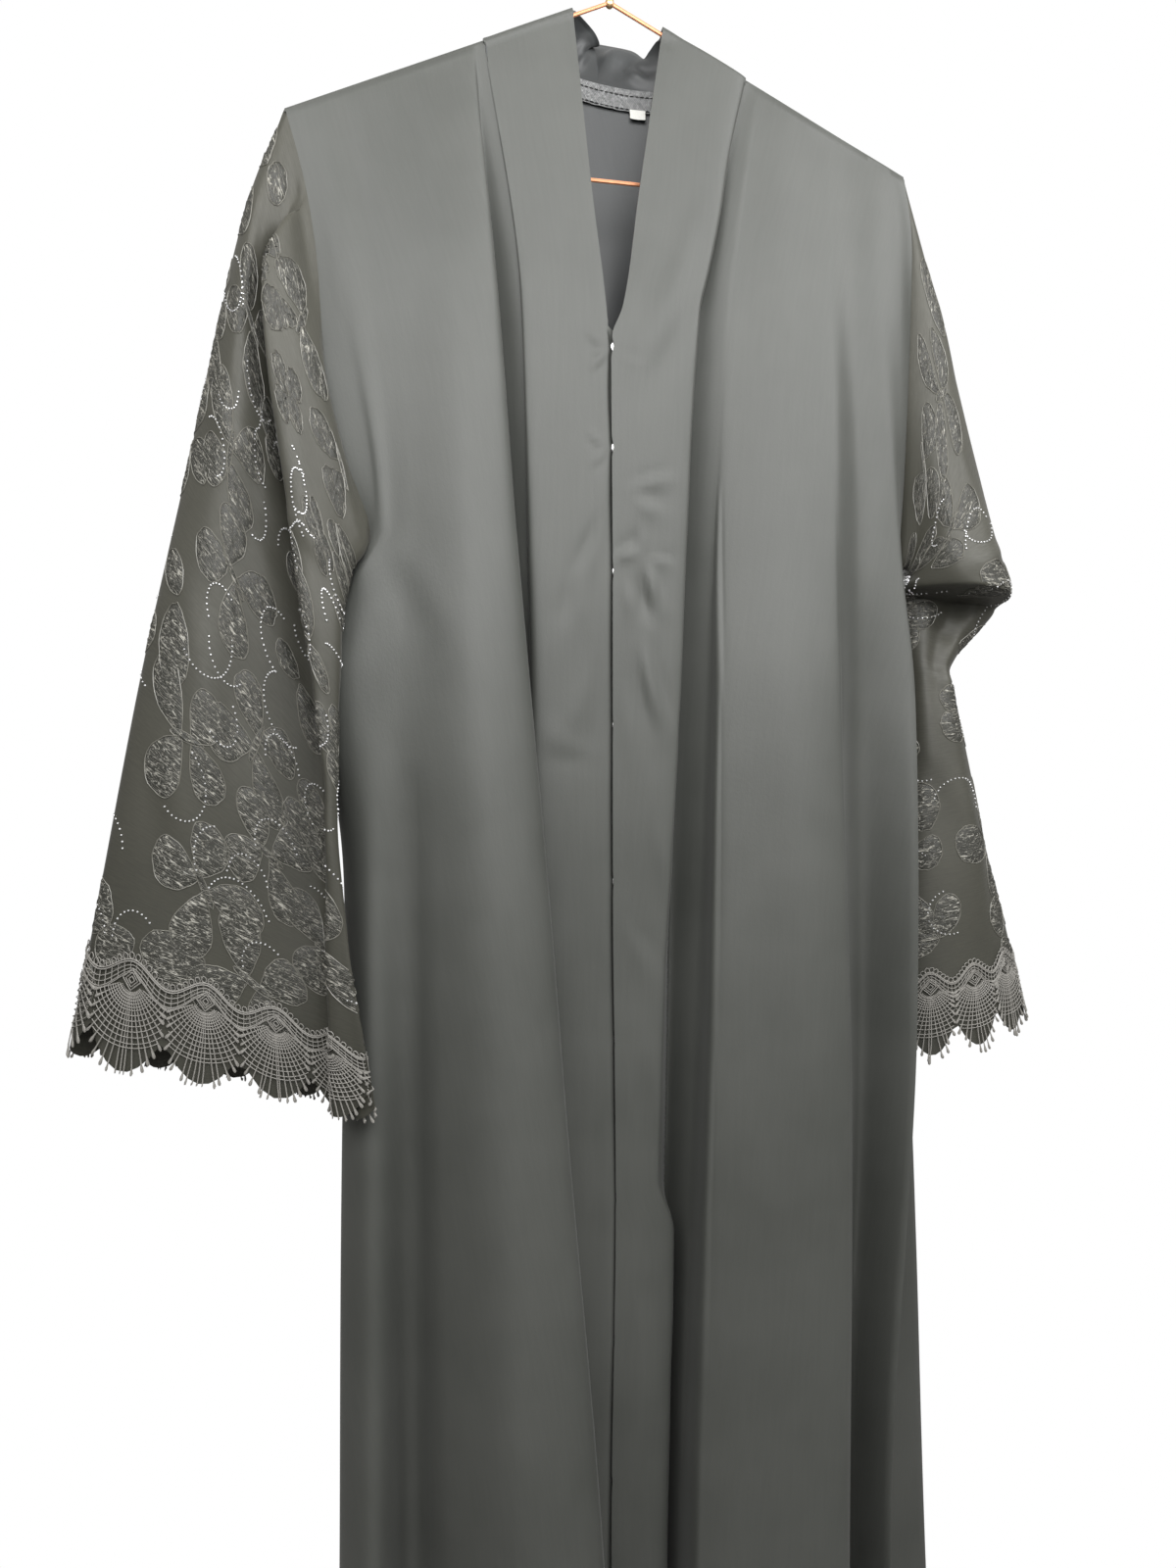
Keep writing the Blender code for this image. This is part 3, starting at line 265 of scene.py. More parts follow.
# How far above LACE_REST some of its threads lie.
RAIL_OVER = 0.0003
FOOT_OVER = 0.0002
ROSETTE_OVER = 0.0004
RAY_OVER = 0.0001
ARC_OVER = 0.0004
PICOTS = 12                 # rings on the top edge of a scallop
PICOT_HALF = (0.00155, 0.00170)     # across and down
PICOT_DROP = 0.0018         # from the top edge to a ring's middle
RAIL_DROPS = (0.0036, 0.0047)       # from the top edge to the two rails
LADDER_FOOT = 0.0098        # the ladder's lower edge over a rosette
LADDER_DIP = 0.0135         # how much lower that is between two scallops
LADDER_LEAN = 0.012         # of a scallop, a bar's ends to either side
LADDER_SHARES = (0.36, 0.68)        # of the way down to its two long threads
# Radii of the lace's threads.
RAIL_THREAD = 0.00050
LONG_THREAD = 0.00034
FOOT_THREADS = (0.00038, 0.00036)
BAR_THREAD = 0.00030
PICOT_THREAD = 0.00034
ARC_THREAD = 0.00031
RAY_THREADS = (.00036, .00040, .00042, .00044, .00060, .00096, .00112, .00062)
# A rosette's nested diamonds: half size and thread.
ROSETTE_DIAMONDS = ((0.0056, 0.00044), (0.0038, 0.00036), (0.0019, 0.00040))
FAN_HALF_ANGLE = 64.0       # degrees
FAN_STARTS = (0.0062, 0.0085)       # of the rays, and of those near the fan's sides
STONE_STEP = 0.0031         # between two stones of a row
LADDER_BARS = 12
ROSETTE_DROP = 0.0140       # from the highest ring to a rosette's middle
FAN_RAYS = 10               # on each side of the middle one
FAN_ARCS = (.0078, .0094, .0110, .0126, .0142, .0158, .0184, .0212, .0240, .0268, .0298,
            .0330, .0352)

SNAP_HEIGHTS = (-.3275, -.3955, -.479, -.5825, -.688, -.794, -.900, -.9955, -1.0915)
SNAP_RADIUS = 0.0042
# Outlines of turned parts: radius and height.
SNAP_PROFILE = ((.0006, -.0009), (.0012, -.0005), (.0020, -.0010), (.0028, -.0011),
                (.0034, -.0006), (.0042, -.0005), (.0048, -.0002), (.0050, .0001),
                (.0048, .0003), (.0036, .0004), (.0026, .0009), (.0014, .0010), (.0004, .0008))
FERRULE_PROFILE = ((.0008, .0052), (.0021, .0050), (.0026, .0042), (.0027, .0024),
                   (.0024, .0020), (.0029, .0010), (.0030, -.0014), (.0026, -.0026),
                   (.0016, -.0034), (.0004, -.0036))
LATHE_SIDES = 28
TAPE_HALF_LENGTH = 0.070
TAPE_WIDTH = 0.0160
TAPE_LIFT = 0.0022          # of the tape's middle in front of the back's
TAPE_STITCH_LIFT = 0.0027
TAPE_STITCH_DROPS = (0.0052, TAPE_WIDTH - 0.0012)
LABEL_LIFT = 0.0034
LABEL_SHELL = 0.0005
LABEL_TUCK = 0.0010         # its top, under the tape's lower edge
LABEL_X = 0.027
LABEL_WIDTH = 0.0108
LABEL_DROP = 0.0058
NECK_RISE = 0.0030          # of the back neck seam's middle
TILT = 0.10                 # of the back neck seam, lower to the right


# --------------------------------------------------------- sizes of what shows
PANEL_ROWS = 190            # from the shoulder to the hem
PANEL_SEGMENTS = 9          # between two folds
SLEEVE_RINGS = 170
SLEEVE_SEGMENTS = 8
BAND_SEGMENTS = 8
LAP_POINT = 5               # the left band's point where its strip under the lap begins
BAND_REFINE = 2             # rows of a band for each row of a panel
ROLL_STEPS = 5              # rows over the wire
CREASE_EDGE = 0.014         # creases fade out this close to a seam
BAND_CREASE_EDGE = 0.005
ROW_CROWDING = 1.15         # rows of a panel lie closer together near the shoulder
WIRE_GAP = 0.0003           # between the cloth and the hanger's bar
EDGE_REACH = 0.010          # the opening's unevenness reaches this far into a band
SNAP_NOTCHES = (.0020, .0014, .0008, .0004, .0006, .0004, .0005, .0004, .0005)
NOTCH_REACH = 0.0040
SLIT_SNAPS = (0.0, 1.0, 2.0, 8.0)           # how far two bands part below these snaps
SLIT_WIDTHS = (.0013, .0010, .0004, .0003)
COLLAR_BOW = 0.004
COLLAR_FULL_BOW_Y = 0.028   # the collar bows fully from this depth behind the wire
COLLAR_SEGMENTS = 16
SEWN_REACH = 0.07           # of a sleeve, shaped to meet the armhole's own curve
# The left side stands out below the armhole, where the sleeve hangs against it.
BULGE_Z = -0.545
BULGE_HEIGHT = 0.085
BULGE_START = 0.022         # it grows over this much below the underarm
BULGE = 0.021
BULGE_REACH = 0.035

# Creases.  Each row: x and z of its ends, then its width, depth and sideways bow.
# A positive depth is a ridge towards the viewer, a negative one a trough.
CREASES = {
    "front_left": (
        (-.137, -.62, -.134, -1.46, .009, -.0045, .004),
        (-.160, -.60, -.158, -1.40, .012, .0030, .003),
        (-.192, -.190, -.176, -.340, .010, .0010, .004),
        (-.180, -.180, -.168, -.300, .008, -.0008, .003),
        (-.150, -.170, -.150, -.330, .012, .0006, .006),
        (-.128, -.150, -.113, -.450, .016, .0011, .006),
        (-.158, -.470, -.128, -.560, .011, -.0011, .006),
        (-.140, -.520, -.152, -.740, .014, .0012, -.006),
        (-.118, -.620, -.122, -1.020, .016, .0008, .008),
        (-.086, -.700, -.078, -1.200, .018, -.0008, -.008),
        (-.150, -.860, -.146, -1.220, .013, -.0010, .007),
        (-.075, -1.020, -.052, -1.470, .015, .0010, .006),
        (-.118, -1.150, -.104, -1.500, .018, .0011, -.006),
        (-.030, -1.220, -.020, -1.490, .012, -.0008, .004),
    ),
    "front_right": (
        (.196, -.190, .188, -.360, .010, .0009, -.004),
        (.170, -.170, .166, -.400, .014, -.0007, .005),
        (.118, -.160, .110, -.440, .018, .0008, -.006),
        (.136, -.340, .148, -.620, .016, -.0007, .008),
        (.196, -.400, .186, -.580, .011, .0011, -.004),
        (.096, -.560, .090, -.960, .016, -.0009, .008),
        (.124, -.620, .128, -1.080, .018, .0009, -.007),
        (.150, -.780, .144, -1.200, .013, -.0009, .006),
        (.078, -.980, .070, -1.380, .014, .0009, -.005),
        (.108, -1.120, .100, -1.490, .018, -.0010, .006),
        (.196, -.800, .190, -1.140, .012, .0010, .005),
        (.205, -1.050, .198, -1.480, .014, -.0009, -.004),
        (.0736, -.420, .0692, -.560, .0015, .0010, .000),
        (.0692, -.560, .0612, -.800, .0015, .0010, .000),
        (.0612, -.800, .0536, -1.00, .0015, .0008, .000),
    ),
    "back": (
        (-.150, -.190, -.120, -.400, .014, .0010, .006),
        (-.060, -.160, -.070, -.460, .016, -.0009, -.006),
        (.020, -.150, .012, -.520, .016, .0008, .006),
        (.075, -.170, .066, -.500, .014, -.0009, .005),
        (.150, -.190, .140, -.420, .013, .0010, -.006),
        (-.170, -.420, -.110, -.540, .012, -.0011, .006),
        (.185, -.420, .130, -.560, .012, -.0011, -.006),
        (-.135, -.600, -.128, -1.020, .014, .0009, .008),
        (-.050, -.640, -.060, -1.160, .013, -.0008, .006),
        (.024, -.700, .020, -1.250, .014, .0008, -.006),
        (.105, -.620, .110, -1.050, .015, -.0009, .006),
        (.180, -.720, .190, -1.200, .014, .0010, -.006),
        (-.095, -1.100, -.100, -1.480, .014, .0009, .005),
        (.070, -1.050, .066, -1.470, .014, -.0009, .005),
    ),
    "band_left": (
        (-.0144, -.445, -.0307, -.4826, .0045, -.0010, .001),
        (-.0300, -.480, -.0396, -.520, .0060, -.0008, .001),
        (-.0100, -.400, -.0120, -.455, .0060, .0007, .001),
        (-.020, -.54, -.044, -.60, .009, .0007, .006),
        (-.018, -.60, -.048, -.585, .007, .0006, .003),
        (-.022, -.68, -.034, -.80, .010, .0007, -.004),
        (-.014, -.86, -.030, -1.02, .009, -.0008, .004),
        (-.012, -1.06, -.028, -1.20, .009, .0009, .003),
        (-.050, -.14, -.052, -.34, .012, .0006, .004),
        (-.008, -.325, -.020, -.318, .0024, .0010, .001),
        (-.008, -.329, -.021, -.331, .0022, -.0008, .001),
        (-.008, -.333, -.018, -.343, .0024, .0010, .001),
        (-.008, -.394, -.018, -.386, .0022, .0009, .001),
        (-.008, -.399, -.017, -.407, .0022, .0008, .001),
        (-.016, -.112, -.004, -.088, .0040, .0030, .001),
        (-.036, -.36, -.040, -.50, .010, -.0006, -.003),
        (-.010, -1.27, -.016, -1.44, .008, .0008, .003),
    ),
    "band_right": (
        (.0100, -.424, .0400, -.416, .0035, .0010, .0015),
        (.0150, -.432, .0270, -.443, .0055, .0012, .001),
        (.0135, -.449, .0108, -.464, .0030, -.0014, .0005),
        (.0020, -.472, .0130, -.465, .0035, .0017, .0008),
        (.0165, -.478, .0210, -.511, .0042, -.0025, .0005),
        (.0240, -.474, .0236, -.504, .0032, .0016, .0005),
        (.0060, -.486, .0110, -.512, .0050, .0010, .001),
        (.0196, -.529, .0330, -.592, .0050, .0016, -.002),
        (.0140, -.536, .0270, -.589, .0045, -.0013, -.002),
        (.0060, -.560, .0120, -.620, .0060, .0009, .001),
        (.0260, -.470, .0360, -.476, .0035, .0009, .001),
        (.022, -.660, .029, -.740, .007, -.0010, .003),
        (.008, -.720, .024, -.765, .007, .0009, .002),
        (.014, -.800, .022, -.905, .008, -.0010, .003),
        (.012, -.960, .022, -1.06, .008, .0010, .003),
        (.010, -1.10, .022, -1.22, .008, -.0009, -.003),
        (.056, -.235, .014, -.345, .009, .0016, .004),
        (.050, -.300, .016, -.360, .007, -.0007, .003),
        (.006, -.330, .018, -.322, .0022, .0008, .001),
        (.005, -.334, .016, -.340, .0022, .0007, -.001),
        (.004, -.112, .018, -.082, .0045, .0034, .002),
        (.014, -.114, .030, -.090, .0045, -.0034, .002),
        (.024, -.106, .034, -.118, .0040, .0030, -.002),
        (.012, -1.28, .020, -1.45, .008, .0009, .003),
    ),
    "sleeve_left": (
        (-.222, -.215, -.212, -.300, .006, .0016, .002),
        (-.208, -.230, -.196, -.330, .006, -.0016, .003),
        (-.262, -.380, -.238, -.430, .010, .0018, .004),
        (-.240, -.450, -.205, -.500, .009, -.0018, .004),
        (-.275, -.500, -.262, -.640, .012, .0018, .005),
        (-.215, -.540, -.196, -.620, .008, .0020, .004),
        (-.205, -.470, -.186, -.520, .007, -.0018, .003),
        (-.300, -.600, -.292, -.710, .010, -.0014, .004),
        (-.235, -.600, -.232, -.740, .012, .0016, .005),
        (-.200, -.640, -.198, -.740, .008, -.0016, .003),
    ),
    "sleeve_right": (
        (.240, -.260, .250, -.330, .008, .0014, .003),
        (.250, -.340, .262, -.430, .009, -.0016, .003),
        (.232, -.380, .244, -.460, .008, .0018, .003),
        (.286, -.450, .246, -.470, .007, .0018, .003),
        (.240, -.505, .270, -.520, .006, -.0016, .002),
        (.238, -.540, .262, -.560, .007, .0018, .003),
        (.230, -.600, .250, -.680, .010, -.0016, .004),
        (.262, -.620, .270, -.720, .010, .0016, .004),
        (.285, -.640, .290, -.720, .008, -.0014, .003),
    ),
}
WAVES = {                   # slow waves of the hanging cloth: seed, height
    "front_left": (3, .0011),
    "front_right": (5, .0011),
    "back": (7, .0014),
    "band_left": (11, .0005),
    "band_right": (13, .0006),
    "sleeve_left": (17, .0010),
    "sleeve_right": (19, .0010),
}

# Stitches: length, gap between two and radius of the thread.
TAPE_STITCH = (0.0026, 0.0011, 0.00042)
SEAM_STITCH = (0.0022, 0.0012, 0.00024)
HEM_STITCH = (0.0020, 0.0022, 0.00020)
HEM_DEPTH = 0.016           # from the hem up to its stitches

# What lies on the sleeves.
SEEDS = {"left": 61, "right": 62}
MOTIF_TOP = 0.020           # below the armhole
MOTIF_SPACING = 0.057
MOTIF_SIZES = (0.039, 0.047)
MOTIF_HEIGHT = 0.00075
CORD_RADIUS = 0.00034
PATCH_RINGS = (0.0, 0.28, 0.52, 0.72, 0.87, 0.96, 1.0)   # of a patch, middle to outline
STONE_TOP = 0.090           # below the highest motifs
STONE_SPACING = 0.038       # between two rows of stones
STONE_RADII = (0.00060, 0.00070)
STONES_PER_ROW = (12, 26)
STONE_BENDS = (38.0, 72.0)  # one over the radius of a row's curve
STONE_TURN_AT = (13, 40)    # the stone at which a row bends back

# The stage.
CAMERA_PLACE = (-0.17518, -0.78953, -0.622)
CAMERA_TURN = -11.46        # degrees
CAMERA_LENS = 27.0
CAMERA_SENSOR = 36.0
FLOOR_Z = -1.60
FLOOR_RADIUS = 0.60
ROOM_LIGHT = (0.17, 0.46)   # from below and from above
ROOM_COLOUR = (1.0, 0.98, 0.94)
LIGHTS = (                  # name, place, aim, size, power
    ("key light", (0.04, -0.90, 0.00), (0.02, 0.0, -0.15), 0.80, 13.5),
    ("left light", (-0.90, -0.95, 0.40), (0.0, 0.0, -0.15), 0.90, 16.0),
    ("right light", (1.00, -0.90, 0.40), (0.0, 0.0, -0.15), 0.90, 20.0),
    ("back light", (0.0, 1.30, 0.10), (0.0, 0.0, -0.60), 1.00, 12.0),
)


# ------------------------------------------------------------ curves and sections
def smooth(knots, values):
    """A curve through values at knots, with no overshoot, as a function of arrays."""
    order = np.argsort(knots)
    t = np.asarray(knots, float)[order]
    v = np.asarray(values, float)[order]
    step = np.diff(t)
    rise = np.diff(v) / step
    slope = np.zeros_like(v)
    slope[0], slope[-1] = rise[0], rise[-1]
    for i in range(1, len(t) - 1):
        if rise[i - 1] * rise[i] > 0:
            a = 2 * step[i] + step[i - 1]
            b = step[i] + 2 * step[i - 1]
            slope[i] = (a + b) / (a / rise[i - 1] + b / rise[i])

    def at(place):
        place = np.asarray(place, float)
        i = np.clip(np.searchsorted(t, place) - 1, 0, len(step) - 1)
        free = (place - t[i]) / step[i]
        u = np.clip(free, 0.0, 1.0)
        level = (1 + 2 * u) * (1 - u) ** 2 * v[i] + u * u * (3 - 2 * u) * v[i + 1]
        lean = u * (1 - u) ** 2 * slope[i] + u * u * (u - 1) * slope[i + 1]
        beyond = (free - u) * step[i] * np.where(free < 0, slope[i], slope[i + 1])
        return level + step[i] * lean + beyond

    return at


def length_of(vectors):
    """Length of vectors, kept as a last axis of one."""
    return np.linalg.norm(vectors, axis=-1, keepdims=True)


def through(points, segments, closed=False):
    """Centripetal Catmull-Rom curves through points, each a point or a column of them."""
    p = [np.asarray(point, float) for point in points]
    if closed:
        p = [p[-1]] + p + p[:2]
    else:
        p = [2 * p[0] - p[1]] + p + [2 * p[-1] - p[-2]]
    out = []
    for a, b, c, d in zip(p, p[1:], p[2:], p[3:]):
        t1 = np.maximum(length_of(b - a), 1e-6) ** 0.5
        t2 = t1 + np.maximum(length_of(c - b), 1e-6) ** 0.5
        t3 = t2 + np.maximum(length_of(d - c), 1e-6) ** 0.5
        for k in range(segments):
            t = t1 + (t2 - t1) * k / segments
            ab = ((t1 - t) * a + t * b) / t1
            bc = ((t2 - t) * b + (t - t1) * c) / (t2 - t1)
            cd = ((t3 - t) * c + (t - t2) * d) / (t3 - t2)
            abc = ((t2 - t) * ab + t * bc) / t2
            bcd = ((t3 - t) * bc + (t - t1) * cd) / (t3 - t1)
            out.append(((t2 - t) * abc + (t - t1) * bcd) / (t2 - t1))
    if not closed:
        out.append(p[-2])
    return np.stack(out, axis=-2)


def unit(vectors):
    """Vectors of length one."""
    return vectors / np.maximum(length_of(vectors), 1e-12)


def wire_z(x):
    """Height of the middle of the hanger's arm at x."""
    return APEX_Z - ARM_SLOPE * np.abs(x)


def shoulder_z(x):
    """Height of the cloth where it lies over the wire."""
    return wire_z(x) + ROLL


def neckline(x):
    """A point of the back neck seam."""
    left, right = NECK_POINT["left"], NECK_POINT["right"]
    share = max(0.0, 1 - (x / (left if x < 0 else right)) ** 2)
    level = shoulder_z(left) + (x - left) / (right - left) * (shoulder_z(right)
                                                              - shoulder_z(left))
    return np.array((x, NECK_DEPTH * share, level + (NECK_RISE - TILT * x) * share))


def on_neck(x):
    """Whether the back's top edge at x belongs to the neck and not to a shoulder."""
    return NECK_POINT["left"] + 1e-6 < x < NECK_POINT["right"] - 1e-6


def armhole_opening(z):
    """How far apart the armhole's front and back edges are at heights."""
    top = shoulder_z(TIP_HALF)
    share = np.clip((top - z) / (top - UNDERARM_Z), 0.0, 1.0)
    return ARMHOLE_OPENING * np.sin(np.pi * share).clip(0.0) ** 0.8


# ------------------------------------------------------------- grids of the cloth
def fold_line(fold, side, face):
    """The top height of one fold, and its x and y as functions of height."""
    name, x_row, y_row = fold
    hangs = face > 0 and on_neck(x_row[0])
    top = neckline(x_row[0])[2] if hangs else shoulder_z(x_row[0])
    y_top = neckline(x_row[0])[1] if hangs else face * ROLL
    y_at = smooth((top,) + HEIGHTS, (y_top,) + y_row)
    if name == "side seam":
        x_at = smooth((top,) + ARMHOLE_HEIGHTS + HEIGHTS[2:],
                      (x_row[0],) + ARMHOLE_X[side] + x_row[3:])
    else:
        x_at = smooth((top,) + HEIGHTS, x_row)
    return top, x_at, y_at


def panel(folds, sides, face):
    """Grid of a panel's middle surface: rows from the shoulder to the hem."""
    shares = np.linspace(0.0, 1.0, PANEL_ROWS) ** ROW_CROWDING
    lines = []
    for fold, side in zip(folds, sides):
        top, x_at, y_at = fold_line(fold, side, face)
        z = top + (HEM_Z - top) * shares
        at_back_edge = fold[0] == "side seam" and face > 0
        y = y_at(z) + (armhole_opening(z) if at_back_edge else 0.0)
        lines.append(np.stack((x_at(z), y, z), axis=1))
    grid = through(lines, PANEL_SEGMENTS)
    clear = WIRE_RADIUS + WIRE_GAP + SOLID_CLOTH / 2
    beside_wire = (grid[..., 2] > BAR_Z - 0.03) & (np.arange(len(grid)) > 0)[:, None]
    near = np.maximum(face * grid[..., 1], clear) * face
    grid[..., 1] = np.where(beside_wire, near, grid[..., 1])
    top_x = grid[0, :, 0]
    angles = np.linspace(90.0, 0.0, ROLL_STEPS)
    over = [np.array([over_wire(x, face, angle) for x in top_x]) for angle in angles]
    return np.concatenate((over, grid[1:]))


def over_wire(x, face, angle):
    """A point where a panel bends over the wire, or hangs from the back neck seam."""
    turn = math.radians(angle)
    if face > 0 and on_neck(x):
        return neckline(x) - (0, 0, ROLL * (1 - math.sin(turn)))
    return np.array((x, face * ROLL * math.cos(turn), wire_z(x) + ROLL * math.sin(turn)))


def clear_of_wire(grid, distance):
    """Move a grid's points outwards from the hanger's arms, to a distance at least."""
    away = grid[..., 1:].copy()
    away[..., 1] -= wire_z(grid[..., 0])
    reach = np.maximum(length_of(away), 1e-9)
    grid[..., 1:] += away * np.maximum(distance / reach - 1, 0.0)


def slit(z):
    """How far a band's edge stands back between two snaps, at a height."""
    number = np.interp(-z, [-s for s in SNAP_HEIGHTS], range(len(SNAP_HEIGHTS)), left=0)
    widest = np.interp(number, SLIT_SNAPS, SLIT_WIDTHS)
    return widest * math.sin(math.pi * (number % 1.0)) ** 2


def notch(z):
    """How far the right band's edge stands back beside a snap, at a height."""
    return sum(depth * math.exp(-((z - place) / NOTCH_REACH) ** 2)
               for depth, place in zip(SNAP_NOTCHES, SNAP_HEIGHTS))


def part_edges(grid, side):
    """Draw a band's edge back: the left one between two snaps, the right one at them."""
    edge = LAP_POINT * BAND_SEGMENTS if side == "left" else -1
    for row in grid:
        z = row[edge, 2]
        back = -slit(z) if side == "left" else notch(z)
        near = np.clip(1 - np.abs(row[:, 0] - row[edge, 0]) / EDGE_REACH, 0, 1) ** 2
        if side == "left":
            near[edge:] = 1.0
        row[:, 0] += back * near


def band_edge(side, z_seam):
    """x and z of a band's edge towards the opening, opposite a point of its seam."""
    top = shoulder_z(NECK_POINT[side])
    wire_x = BAND_TOP_X[side]
    share = min(1.0, max(0.0, (z_seam - V_BOTTOM_Z) / (top - V_BOTTOM_Z)))
    z = z_seam + share * (shoulder_z(wire_x) - top)
    x_at = smooth((shoulder_z(wire_x),) + BAND_EDGE_HEIGHTS, (wire_x,) + BAND_EDGE_X[side])
    return float(x_at(z)), z


def band_depth(side, seam):
    """y of a band's face opposite a point of its seam: flat against the wire on top."""
    top = shoulder_z(NECK_POINT[side])
    if seam[2] > top - ROLL - 1e-6:
        return seam[1]
    return float(smooth((top - ROLL, BAND_NECK_Z, BAND_CHEST_Z, HEM_Z),
                        (-ROLL, BAND_NECK_Y, BAND_FACE_Y[side], BAND_FACE_Y[side]))(seam[2]))


def band_front_left(seam):
    """Left band: flat, with a strip that runs on under the right band."""
    x_edge, z_edge = band_edge("left", seam[2])
    y_face = band_depth("left", seam)
    sunk = (UNDERLAP_START_Z - seam[2]) / (UNDERLAP_START_Z - UNDERLAP_TOP_Z)
    lap = min(1.0, max(0.0, sunk))
    y_lap = y_face + lap * (UNDERLAP_Y - y_face)
    middle = ((seam[0] + x_edge) / 2, y_face - 0.0004, (seam[2] + z_edge) / 2)
    turn = EDGE_TURN - EDGE_TURN_LOSS * lap
    slope = (seam[2] - z_edge) / (x_edge - seam[0])
    fold = y_face - seam[1]
    return [seam, (seam[0] - TUCK_OUT, seam[1] + TUCK_SHARE * fold, seam[2]),
            (seam[0] + FACE_START, y_face - 0.0002, seam[2] - FACE_START * slope),
            middle, (x_edge - FACE_END, y_face - 0.0003, z_edge + FACE_END * slope),
            (x_edge - turn, y_face, z_edge + turn * slope),
            (x_edge + lap * LAP_STEP, y_lap, z_edge),
            (x_edge + lap * UNDERLAP + LAP_END, y_lap, z_edge)]


def band_front_right(seam):
    """Right band: its seam side is folded back into the valley beside it."""
    x_edge, z_edge = band_edge("right", seam[2])
    y_face = band_depth("right", seam)
    top_x = NECK_POINT["right"]
    x_fold = float(smooth((shoulder_z(top_x),) + BAND_FOLD_HEIGHTS,
                          (top_x - 0.0005,) + BAND_FOLD_X)(seam[2]))
    if seam[2] > V_BOTTOM_Z:
        x_fold = max(x_fold, seam[0] - FOLD_ROOM)
    share = (seam[0] - x_fold) / (seam[0] - x_edge)
    z_fold = seam[2] + share * (z_edge - seam[2])
    x_fold += FOLD_OUT
    return [seam, (x_fold, y_face + 0.0006, z_fold),
            (x_fold - FOLD_ROUND, y_face - 0.0014, z_fold),
            ((x_fold + x_edge) / 2, y_face - 0.002, (z_fold + z_edge) / 2),
            (x_edge, y_face, z_edge)]


def collar_section(seam, free, count):
    """Points from the back neck seam up to the collar's free edge, a little bowed."""
    points = []
    for k in range(count):
        share = k / (count - 1)
        bow = COLLAR_BOW * math.sin(math.pi * share)
        behind = min(1.0, seam[1] / COLLAR_FULL_BOW_Y)
        points.append(seam + share * (free - seam) + (0, -bow * behind, bow * (2 * behind - 1)))
    return points


def band(side, seam_front, seam_neck):
    """Grid of a band's middle surface, from the hem over the wire to centre back."""
    across = band_front_left if side == "left" else band_front_right
    rows = [across(point) for point in seam_front]
    wire_x = BAND_TOP_X[side]
    corners = [(wire_x, 0, shoulder_z(wire_x)), *COLLAR_EDGE[side], COLLAR_CENTRE]
    edge = through(corners, COLLAR_SEGMENTS)
    for i, seam in enumerate(seam_neck):
        free = edge[round((i + 1) / len(seam_neck) * (len(edge) - 1))]
        rows.append(collar_section(seam, free, len(rows[0])))
    columns = np.array([[np.asarray(point, float) for point in row] for row in rows])
    grid = through(list(columns.transpose(1, 0, 2)), BAND_SEGMENTS)
    grid = refined(grid)
    part_edges(grid, side)
    rise = np.clip(np.arange(grid.shape[1]) / BAND_SEGMENTS, 0, 1)
    clear_of_wire(grid, ROLL + (BAND_ROLL - ROLL) * rise[:, None])
    return grid


def refined(grid):
    """A band's grid, or a column of it, with more rows."""
    return through(list(grid), BAND_REFINE).swapaxes(0, 1)


def armhole_point(side, share, at_back):
    """A point of an armhole edge, from the shoulder tip (0) to the underarm (1)."""
    folds = FRONT_LEFT if side == "left" else FRONT_RIGHT
    top, x_at, y_at = fold_line(folds[-1], side, -1)
    z = top + (UNDERARM_Z - top) * share
    y = float(y_at(z)) * min(1.0, share / 0.02)
    if at_back:
        y += float(armhole_opening(z))
    return np.array((float(x_at(z)), y, z))


def sleeve(side, places):
    """Grid of a sleeve's middle surface, rings from the armhole to the cuff."""
    rails = np.array(SLEEVE_RAILS[side])
    outer_x, outer_z, inner_x, inner_z = (smooth(rails[:, 0], rails[:, k])(places)
                                          for k in (1, 2, 3, 4))
    levels = SLEEVE_LEVELS[side]
    folds = SLEEVE_FOLDS[side]
    inner = [fold[0] for fold in folds].index("inner rail")
    near = np.maximum(0.0, 1 - places / levels[1]) ** 2
    first = rails[0]
    lines = []
    for i, (_, shares, y_row) in enumerate(folds):
        seam = armhole_point(side, shares[0], i > inner)
        share = smooth(levels, shares)(places)
        x = outer_x + share * (inner_x - outer_x)
        z = outer_z + share * (inner_z - outer_z)
        x += near * (seam[0] - first[1] - shares[0] * (first[3] - first[1]))
        z += near * (seam[2] - first[2] - shares[0] * (first[4] - first[2]))
        y = smooth(levels, (seam[1],) + tuple(y_row[1:]))(places)
        lines.append(np.stack((x, y, z), axis=1))
    grid = through(lines, SLEEVE_SEGMENTS, closed=True)
    sewn = armhole_ring(side, [fold[1][0] for fold in folds], inner)
    close = np.maximum(0.0, 1 - places / SEWN_REACH) ** 2
    return grid + close[:, None, None] * (sewn - grid[0])


def armhole_ring(side, shares, inner):
    """The armhole seam itself, at each column of a sleeve's first ring."""
    points = []
    for i, share in enumerate(shares):
        following = shares[(i + 1) % len(shares)]
        for k in range(SLEEVE_SEGMENTS):
            at = share + (following - share) * k / SLEEVE_SEGMENTS
            points.append(armhole_point(side, at, i >= inner))
    return np.array(points)


# -------------------------------------------------------- normals, creases, shells
def tangents(grid, axis, closed=False):
    """Unit directions along one axis of a grid, the mean of both sides of a point."""
    if closed:
        after = unit(np.roll(grid, -1, axis=axis) - grid)
        return unit(after + np.roll(after, 1, axis=axis))
    steps = unit(np.diff(grid, axis=axis))
    before = np.concatenate((np.take(steps, [0], axis), steps), axis=axis)
    after = np.concatenate((steps, np.take(steps, [-1], axis)), axis=axis)
    return unit(before + after)


